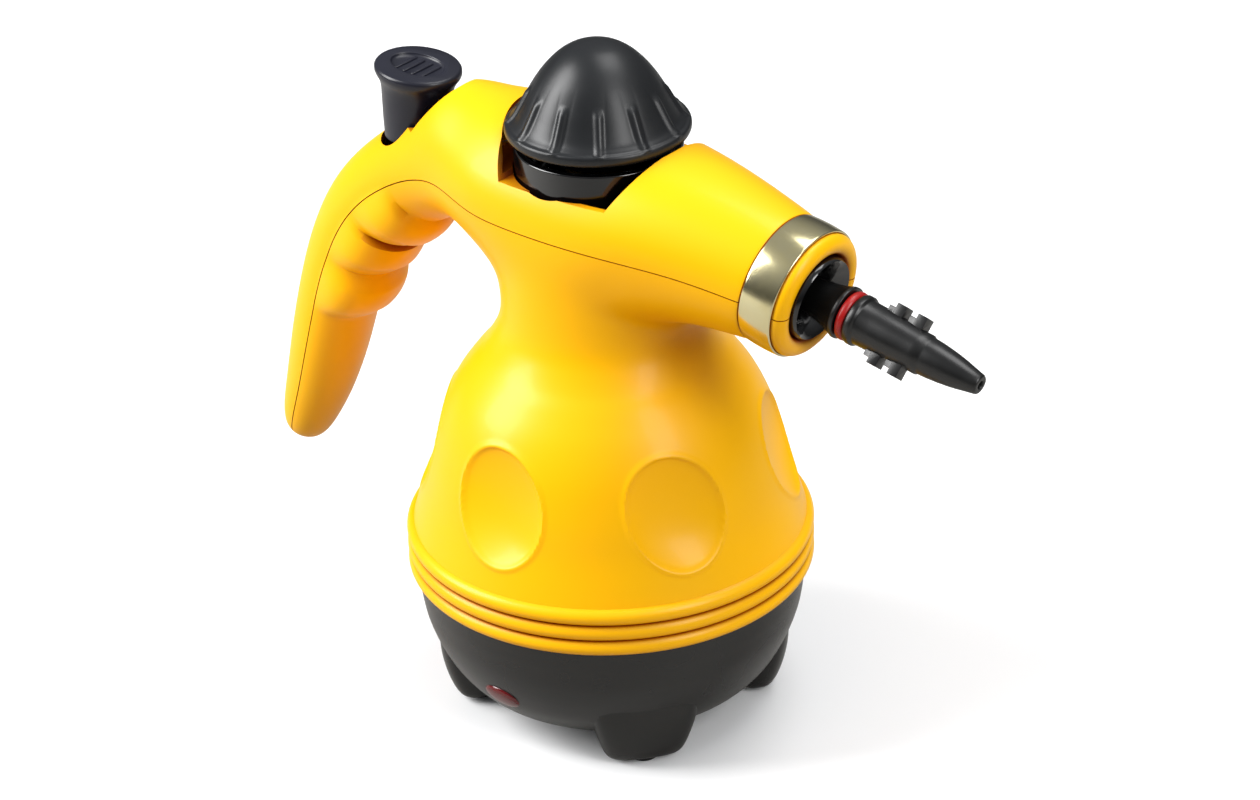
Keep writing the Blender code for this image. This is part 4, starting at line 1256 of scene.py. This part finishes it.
@dataclass
class Base:
    """The black bowl with its four feet, their pads, the red window and the cord gland."""

    paints: Paints
    copies: SteppedCopies
    foot_angles: tuple[int, ...] = (40, 140, 220, 320)
    foot_squareness: float = 0.72
    pad_radius: float = 49.2
    lens_y: float = -60.9
    lens_z: float = 24.0
    lens_turn: float = 118.0
    gland_z: float = 33.0
    bowl: tuple[Point, ...] = (
        (67.8, 52.7),
        (67.5, 49.0),
        (67.0, 44.0),
        (65.6, 36.0),
        (62.4, 27.0),
        (57.8, 18.5),
        (51.0, 11.4),
        (43.0, 7.8),
        (30.0, 6.6),
    )

    def foot(self, angle: int) -> Part:
        """Makes a tongue-shaped foot that grows out of the bowl's side.

        Args:
            angle: degrees round the bowl.

        Returns:
            The foot.
        """
        sections = [
            (12.0, 59.0, 44, 33.0),
            (17.4, 60.8, 44, 29.5),
            (19.4, 62.0, 43, 24.0),
            (18.2, 61.2, 42, 16.0),
            (16.2, 59.4, 41.5, 9.0),
            (14.6, 57.6, 41, 4.2),
            (13.4, 56.0, 42, 2.0),
            (11.6, 54.4, 43, 1.5),
        ]
        swing = Matrix.Rotation(math.radians(angle), 3, "Z")
        sides, power = 20, self.foot_squareness
        rings = []
        for half_width, outer, inner, height in sections:
            ring = []
            for k in range(sides):
                t = 2 * math.pi * k / sides
                c, s = math.cos(t), math.sin(t)
                across = half_width * math.copysign(abs(s) ** power, s)
                radial = (outer + inner) / 2 + math.copysign(abs(c) ** power, c) * (outer - inner) / 2
                ring.append(swing @ Vector((radial, across, height)) * MM)
            rings.append(ring)
        obj = as_object(f"foot_{angle}", loft(rings))
        smooth = obj.modifiers.new("Smooth", "SUBSURF")
        smooth.levels = smooth.render_levels = 2
        return settle(obj)

    def bowl_piece(self) -> None:
        """The bowl with its feet, and the openings for the window and the gland."""
        outer = curve_through(self.bowl, 8)
        inner = [(r - 2.6, z + 0.9) for r, z in reversed(outer[8:-1:4])]
        rim = [(64.8, 52.0), (64.8, 58.5), (66.4, 58.5), (66.4, 52.9)]
        obj = turned("base_bowl_skin", [(0, 9.2), (28, 9.2), *inner, *rim, *outer, (0, 6.6)], 160)
        combine(obj, [self.foot(angle) for angle in self.foot_angles], "UNION")
        window_profile = [(0, 8), (1, 8), (1, -8), (0, -8)]
        window = turned("window_hole", window_profile, 72, self._window_place(7.15, 5.15))
        outwards = moved(-62, 0, self.gland_z) @ Matrix.Rotation(math.pi / 2, 4, "Y")
        gland = turned("gland_hole", [(0, 12), (5.6, 12), (5.6, -12), (0, -12)], 48, outwards)
        combine(obj, [window, gland], "DIFFERENCE")
        self.paints.deliver(obj, Body.HOUSING, "black_base", Finish.BLACK_PP, "base_bowl")

    def _window_place(self, wide: float, high: float) -> Matrix:
        """Stands a disc of radius one in the bowl's side as an oval of these half lengths."""
        turn = Matrix.Rotation(math.radians(self.lens_turn), 4, "X")
        return moved(0, self.lens_y, self.lens_z) @ turn @ Matrix.Diagonal((wide, high, 1, 1))

    def window(self) -> None:
        """The domed oval window over the lamp."""
        dome = [(0, 1.2), (0.3, 1.15), (0.6, 0.95), (0.85, 0.6), (0.97, 0.2), (1.0, -0.4)]
        profile = [*dome, (1.0, -2.2), (0, -2.2)]
        obj = turned("indicator_window", profile, 72, self._window_place(7.2, 5.2), sharp=60)
        self.paints.deliver(obj, Body.HOUSING, "red_lens", Finish.RED_ACRYLIC, "indicator_lens")

    def pads(self) -> None:
        """The four rubber pads, each with a raised ring underneath."""
        outside = [(0, 1.6), (5.0, 1.6), (5.2, 1.3), (5.2, 0.5), (4.9, 0.1)]
        profile = [*outside, (4.4, 0.0), (3.0, 0.0), (2.6, 0.5), (0, 0.5)]
        for i, angle in enumerate(self.foot_angles, 1):
            t = math.radians(angle)
            place = moved(math.cos(t) * self.pad_radius, math.sin(t) * self.pad_radius)
            obj = turned(f"rubber_foot_{i}", profile, 40, place)
            self.paints.deliver(obj, Body.HOUSING, "black_rubber", Finish.BLACK_RUBBER, f"foot_pad_{i}")

    def gland(self) -> None:
        """The rubber bush for the cord, with ribs along its outer sleeve."""
        sleeve = [(3.0, 9), (4.5, 9), (4.9, 8.4), (5.2, 0.5)]
        flange = [(7.3, 0.4), (7.5, 0.1), (7.5, -1.5), (7.2, -1.7), (5.2, -1.8)]
        obj = turned("cord_bush", [*sleeve, *flange, (5.2, -9), (3.0, -9)], 64, ring=True)
        rib_profile = [(4.3, 1.9), (5.5, 1.7), (5.7, 1.3), (5.5, 0.9), (4.3, 0.7)]
        rib = turned("bush_rib", rib_profile, 64, ring=True)
        self.copies.apply(rib, 4, 0, (0, 0, 1.9), self.paints.get(Finish.BLACK_RUBBER))
        combine(obj, [rib], "UNION")
        obj.data.transform(moved(-68.2, 0, self.gland_z) @ Matrix.Rotation(-math.pi / 2, 4, "Y"))
        self.paints.deliver(obj, Body.HOUSING, "black_rubber", Finish.BLACK_RUBBER, "cord_gland")

    def build(self) -> None:
        """Makes everything under the belt."""
        self.bowl_piece()
        self.window()
        self.pads()
        self.gland()


# --- cap, collar and button ---------------------------------------------------------------------


@dataclass
class SafetyCap:
    """The ribbed dome of the cap and the collar that it stands in."""

    paints: Paints
    ribs: int = 12
    first_rib: float = -50.0
    rib_width: float = 2.0
    rib_height: float = 1.05
    rib_start: Point = (216.6, 218.2)
    rib_end: Point = (228.0, 230.5)
    panel_height: float = 0.12
    panel_lift: float = 0.1
    panel_gap: float = 0.6
    panel_start: Point = (216.6, 218.6)
    panel_end: Point = (230.0, 237.5)
    dome: tuple[Point, ...] = (
        (0.01, 244.9),
        (4.2, 244.6),
        (8.8, 243.1),
        (13.4, 240.0),
        (17.9, 235.2),
        (21.9, 229.0),
        (25.2, 223.0),
        (27.3, 219.6),
        (29.2, 217.8),
    )

    def shift(self, angle: float, r: float, z: float) -> Point:
        """Raises the ribs and the panels between them on the dome's lower half.

        Args:
            angle: the angle round the dome, in radians.
            r: the radius before.
            z: the height.

        Returns:
            The new radius and the same height.
        """
        spacing = 360 / self.ribs
        off = (math.degrees(angle) - self.first_rib + spacing / 2) % spacing - spacing / 2
        across = abs(math.radians(off)) * r
        half = math.radians(spacing / 2) * r
        reach = (1 - smoothstep(*self.panel_end, z)) * smoothstep(*self.panel_start, z)
        rib_reach = (1 - smoothstep(*self.rib_end, z)) * smoothstep(*self.rib_start, z)
        rib = self.rib_height * math.cos(math.pi / 2 * min(1.0, across / self.rib_width)) ** 1.3
        edge = self.rib_width + self.panel_gap
        share = min(1.0, max(0.0, (across - edge) / max(half - edge, 0.1)))
        panel = self.panel_height * math.sin(share * math.pi / 2) ** 0.5 if share > 0 else 0.0
        return r + rib_reach * rib + reach * (panel + self.panel_lift), z

    def dome_piece(self) -> None:
        """The dome with its rolled rim."""
        outer = curve_through(self.dome, 9)
        rim_top = [(29.6, 217.6), (30.5, 217.2), (30.95, 216.4)]
        rim_end = [(30.95, 215.0), (30.4, 213.9), (29.6, 213.5)]
        low = [(28.2, 213.7), (27.4, 214.6), (23.0, 220.8), (18.8, 227.6)]
        high = [(14.6, 234), (10.6, 237.6), (6, 240.2), (0, 241.4)]
        profile = [(0, 244.9), *outer[1:], *curve_through([*rim_top, *rim_end], 4), *low, *high]
        obj = as_object("cap_dome_skin", lathe(profile, 360, shift=self.shift), 50)
        self.paints.deliver(obj, Body.DOME, "charcoal_cap", Finish.CHARCOAL_DOME, "cap_dome")

    def collar(self) -> None:
        """The glossy black collar round the filler."""
        outside = [(25.4, 209.5), (28.2, 209.5), (28.3, 196.5), (28.8, 194.4), (31.2, 193.2), (31.2, 189.2)]
        inside = [(11.6, 189.2), (11.6, 192.4), (24, 193), (25.4, 195)]
        obj = rounded(turned("filler_collar_skin", [*outside, *inside], 128, ring=True), 0.6, 4, 28)
        self.paints.deliver(obj, Body.HOUSING, "black_gloss", Finish.GLOSS_NYLON, "filler_collar")

    def build(self) -> None:
        """Makes the dome and the collar."""
        self.dome_piece()
        self.collar()


@dataclass
class SteamButton:
    """The flared oval button with its ridged thumb pad."""

    paints: Paints
    copies: SteppedCopies
    x: float = -80.0
    lean: float = 0.09
    lean_start: Point = (206.0, 211.0)
    sleeve_slope: float = 0.6
    sleeve_middle: float = 186.0
    pad_forward: float = 1.2
    sections: tuple[tuple[float, float, float, float], ...] = (
        (191.6, 12.1, 11.5, 0.0),
        (195.0, 12.2, 11.6, 0.0),
        (199.0, 12.3, 11.7, 0.0),
        (203.0, 12.4, 11.8, 0.1),
        (206.5, 12.6, 11.9, 0.3),
        (209.5, 12.9, 12.1, 0.55),
        (211.5, 13.4, 12.5, 0.8),
        (213.0, 14.2, 13.2, 1.0),
        (214.4, 15.1, 14.0, 1.2),
        (215.4, 15.5, 14.3, 1.2),
        (216.6, 15.5, 14.3, 1.2),
        (217.3, 15.1, 13.9, 1.2),
        (217.6, 14.5, 13.3, 1.2),
    )

    def guide(self) -> None:
        """The dark sleeve that the button slides in, its top sloping with the shell."""

        def sloped(angle: float, r: float, z: float) -> Point:
            """Tilts the top of the sleeve."""
            return r, z + (self.sleeve_slope * r * math.cos(angle) if z > self.sleeve_middle else 0)

        profile = [(13.2, 189.5), (13.2, 176), (12.8, 176), (12.8, 189.5)]
        obj = as_object("button_sleeve", lathe(profile, 72, ring=True, shift=sloped))
        obj.data.transform(moved(self.x))
        self.paints.deliver(obj, Body.HOUSING, "black_base", Finish.BLACK_PP, "button_guide")

    def knob(self) -> Shape:
        """Makes the flared oval outside of the button.

        Returns:
            The closed mesh in metres.
        """
        sides = 72
        rings = []
        for height, half_x, half_y, forward in self.sections:
            lean = self.lean * smoothstep(*self.lean_start, height)
            ring = []
            for k in range(sides):
                angle = 2 * math.pi * k / sides
                x, y = half_x * math.cos(angle), half_y * math.sin(angle)
                ring.append(Vector((self.x + forward + x, y, height - lean * x)) * MM)
            rings.append(ring)
        return loft(rings)

    def build(self) -> None:
        """Makes the button and its sleeve."""
        obj = as_object("steam_button_skin", self.knob(), 45)
        pad_profile = [(0, 222), (1.0, 222), (0.9, 216.9), (0.8, 216.3), (0, 216.1)]
        pad = turned("thumb_pad", pad_profile, 72, self._pad_place() @ Matrix.Diagonal((11.4, 8.2, 1, 1)))
        hollow = turned("button_hollow", [(0, 211), (9.2, 211), (9.2, 180), (0, 180)], 48, moved(self.x))
        combine(obj, [pad, hollow], "DIFFERENCE")
        rounded(obj, 0.35, 3, 35)
        stem_profile = [(0, 213), (2.8, 213), (2.8, 181.0), (2.4, 180.5), (0, 180.5)]
        stem = turned("button_stem", stem_profile, 32, moved(self.x))
        bar = rounded(as_object("thumb_ridge", block((1.1, 11.0, 1.0), (0, 0, 0))), 0.35, 3, 30)
        bar.data.transform(moved(-5.4, 0, 216.25))
        self.copies.apply(bar, 4, 0, (3.6, 0, 0), self.paints.get(Finish.BUTTON_ABS))
        bar.data.transform(self._pad_place())
        combine(obj, [stem, bar], "UNION")
        self.paints.deliver(obj, Body.BUTTON, "button_grey", Finish.BUTTON_ABS, "steam_button")
        self.guide()

    def _pad_place(self) -> Matrix:
        """Leans the thumb pad with the button's top.

        Returns:
            The matrix for a shape made round the vertical axis.
        """
        shear = Matrix.Identity(4)
        shear[2][0] = -self.lean
        return moved(self.x + self.pad_forward) @ shear


# --- parts that keep their machined shape --------------------------------------------------------


class Inside:
    """The CAD nodes that stay as they are and get a finish."""

    finishes: dict[Finish, tuple[str, ...]] = {
        Finish.CAST_ALUMINIUM: ("boiler_body", "boiler_cover"),
        Finish.TURNED_BRASS: (
            "filler_neck",
            "relief_valve_body",
            "relief_cap",
            "relief_poppet",
            "valve_body",
            "valve_cap",
        ),
        Finish.ZINC_STEEL: (
            "boiler_cradle",
            "heating_element",
            "valve_lever",
            "valve_plunger",
            "lever_pin",
            "lever_bracket",
            "cap_screw",
            *(f"boiler_screw_{i}" for i in range(1, 5)),
            *(f"base_screw_{i}" for i in range(1, 5)),
        ),
        Finish.SPRING_WIRE: ("relief_spring", "valve_spring", "button_spring", "cap_spring"),
        Finish.GREY_SILICONE: ("boiler_gasket", "filler_gasket", "valve_seal", "cap_gasket", "steam_pipe"),
        Finish.WHITE_NYLON: ("thermal_fuse", "cap_thrust_washer", "terminal_block"),
        Finish.STEATITE: ("thermostat",),
        Finish.LAMP_GLASS: ("indicator_lamp",),
        Finish.GLOSS_NYLON: ("cap_plug",),
        Finish.BROWN_LEAD: ("lead_live",),
        Finish.BLUE_LEAD: ("lead_neutral",),
    }

    def build(self, paints: Paints) -> None:
        """Gives each node its finish.

        Args:
            paints: makes the materials.
        """
        for finish, names in self.finishes.items():
            material = paints.get(finish)
            for name in names:
                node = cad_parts[name]
                for slot in node.material_slots:
                    slot.material = material
                log.info("%s: %s", name, material.name)


# --- room ---------------------------------------------------------------------------------------


@dataclass
class Studio:
    """Pale floor, soft lights and the camera."""

    azimuth: float = 39.4
    elevation: float = 28.3
    roll: float = -1.67
    distance: float = 1.262
    lens: float = 105.8
    aim: tuple[float, float, float] = (0.0, 0.0, 0.120)
    slide: tuple[float, float] = (0.0081, -0.0065)

    def floor(self) -> None:
        """A wide pale floor that throws little light back up."""
        shape = bmesh.new()
        bmesh.ops.create_grid(shape, x_segments=8, y_segments=8, size=9.0)
        obj = as_object("studio_floor", shape)
        material = bpy.data.materials.new("matt_white_sweep")
        material.use_nodes = True
        tree = material.node_tree
        shader = tree.nodes["Principled BSDF"]
        place = add_node(tree, "ShaderNodeTexCoord").outputs["Object"]
        cloud = add_node(tree, "ShaderNodeTexNoise", {"Vector": place, "Scale": 2.0}).outputs["Fac"]
        path = add_node(tree, "ShaderNodeLightPath").outputs
        seen = {0: cloud, 6: linear("F5F5F5"), 7: linear("F8F8F8")}
        thrown = {0: path["Is Glossy Ray"], 6: linear("94836A"), 7: linear("B4B2AE")}
        bright, dim = (
            add_node(tree, "ShaderNodeMix", mixed, data_type="RGBA").outputs[2] for mixed in (seen, thrown)
        )
        both = {0: path["Is Camera Ray"], 6: dim, 7: bright}
        tint = add_node(tree, "ShaderNodeMix", both, data_type="RGBA").outputs[2]
        tree.links.new(tint, shader.inputs["Base Color"])
        shader.inputs["Roughness"].default_value = 0.9
        obj.data.materials.append(material)

    def world(self) -> None:
        """Soft surrounding light: bright overhead, dimmer towards the horizon in reflections."""
        world = bpy.data.worlds.new("soft_room")
        world.use_nodes = True
        tree = world.node_tree
        background = tree.nodes["Background"]
        place = add_node(tree, "ShaderNodeTexCoord").outputs["Generated"]
        split = add_node(tree, "ShaderNodeSeparateXYZ", {0: place})
        rise = add_node(
            tree,
            "ShaderNodeMapRange",
            {"Value": split.outputs["Z"], "From Min": 0.0, "From Max": 0.9, "To Min": 0.1, "To Max": 0.5},
            interpolation_type="SMOOTHSTEP",
        )
        seen = add_node(tree, "ShaderNodeLightPath").outputs["Is Camera Ray"]
        level = add_node(tree, "ShaderNodeMath", {0: rise.outputs[0], 1: seen}, operation="MAXIMUM")
        tree.links.new(level.outputs[0], background.inputs["Strength"])
        background.inputs["Color"].default_value = (0.95, 0.97, 1.0, 1.0)
        bpy.context.scene.world = world

    def light(
        self, name: str, size: Point, power: float, azimuth: float, elevation: float, distance: float
    ) -> None:
        """Hangs a soft rectangular light that faces the object.

        Args:
            name: the light's name.
            size: width and height in metres.
            power: watts.
            azimuth: degrees round the object, as for the camera.
            elevation: degrees above the horizon.
            distance: metres from the object.
        """
        data = bpy.data.lights.new(name, "AREA")
        data.shape = "RECTANGLE"
        data.size, data.size_y = size
        data.energy = power
        obj = bpy.data.objects.new(name, data)
        back = self.direction(azimuth, elevation)
        obj.location = Vector(self.aim) + back * distance
        obj.rotation_euler = (-back).to_track_quat("-Z", "Y").to_euler()
        bpy.context.scene.collection.objects.link(obj)

    @staticmethod
    def direction(azimuth: float, elevation: float) -> Vector:
        """Unit direction from the object to a viewer."""
        a, e = math.radians(azimuth), math.radians(elevation)
        return Vector((math.sin(a) * math.cos(e), -math.cos(a) * math.cos(e), math.sin(e)))

    def camera(self) -> None:
        """The camera, above the object and in front of its nozzle side."""
        data = bpy.data.cameras.new("camera")
        data.lens = self.lens
        data.sensor_width = 36.0
        data.clip_start, data.clip_end = 0.05, 60
        obj = bpy.data.objects.new("camera", data)
        back = self.direction(self.azimuth, self.elevation)
        turn = (-back).to_track_quat("-Z", "Y").to_matrix()
        turn = turn @ Matrix.Rotation(math.radians(self.roll), 3, "Z")
        right, up = turn.col[0], turn.col[1]
        target = Vector(self.aim) + right * self.slide[0] + up * self.slide[1]
        obj.matrix_world = Matrix.Translation(target + back * self.distance) @ turn.to_4x4()
        bpy.context.scene.collection.objects.link(obj)
        bpy.context.scene.camera = obj

    def build(self) -> None:
        """Sets up the room."""
        self.floor()
        self.world()
        self.light("key_left", (0.7, 1.1), 34.0, -50, 34, 1.5)
        self.light("fill_right", (0.5, 1.0), 14.0, 82, 32, 1.6)
        self.light("top_soft", (0.9, 0.7), 11.0, 150, 70, 1.5)
        self.camera()
        bpy.context.scene.view_settings.view_transform = "Standard"


def main() -> None:
    """Builds each sub-assembly in order."""
    logging.basicConfig(level=logging.INFO, format="%(name)s %(message)s")
    paints, copies, axis = Paints(), SteppedCopies(), SnoutAxis()
    Studio().build()
    YellowShells(paints, axis).build()
    Snout(paints, copies, axis).build()
    Base(paints, copies).build()
    SafetyCap(paints).build()
    SteamButton(paints, copies).build()
    Inside().build(paints)


if __name__ == "__main__":
    main()
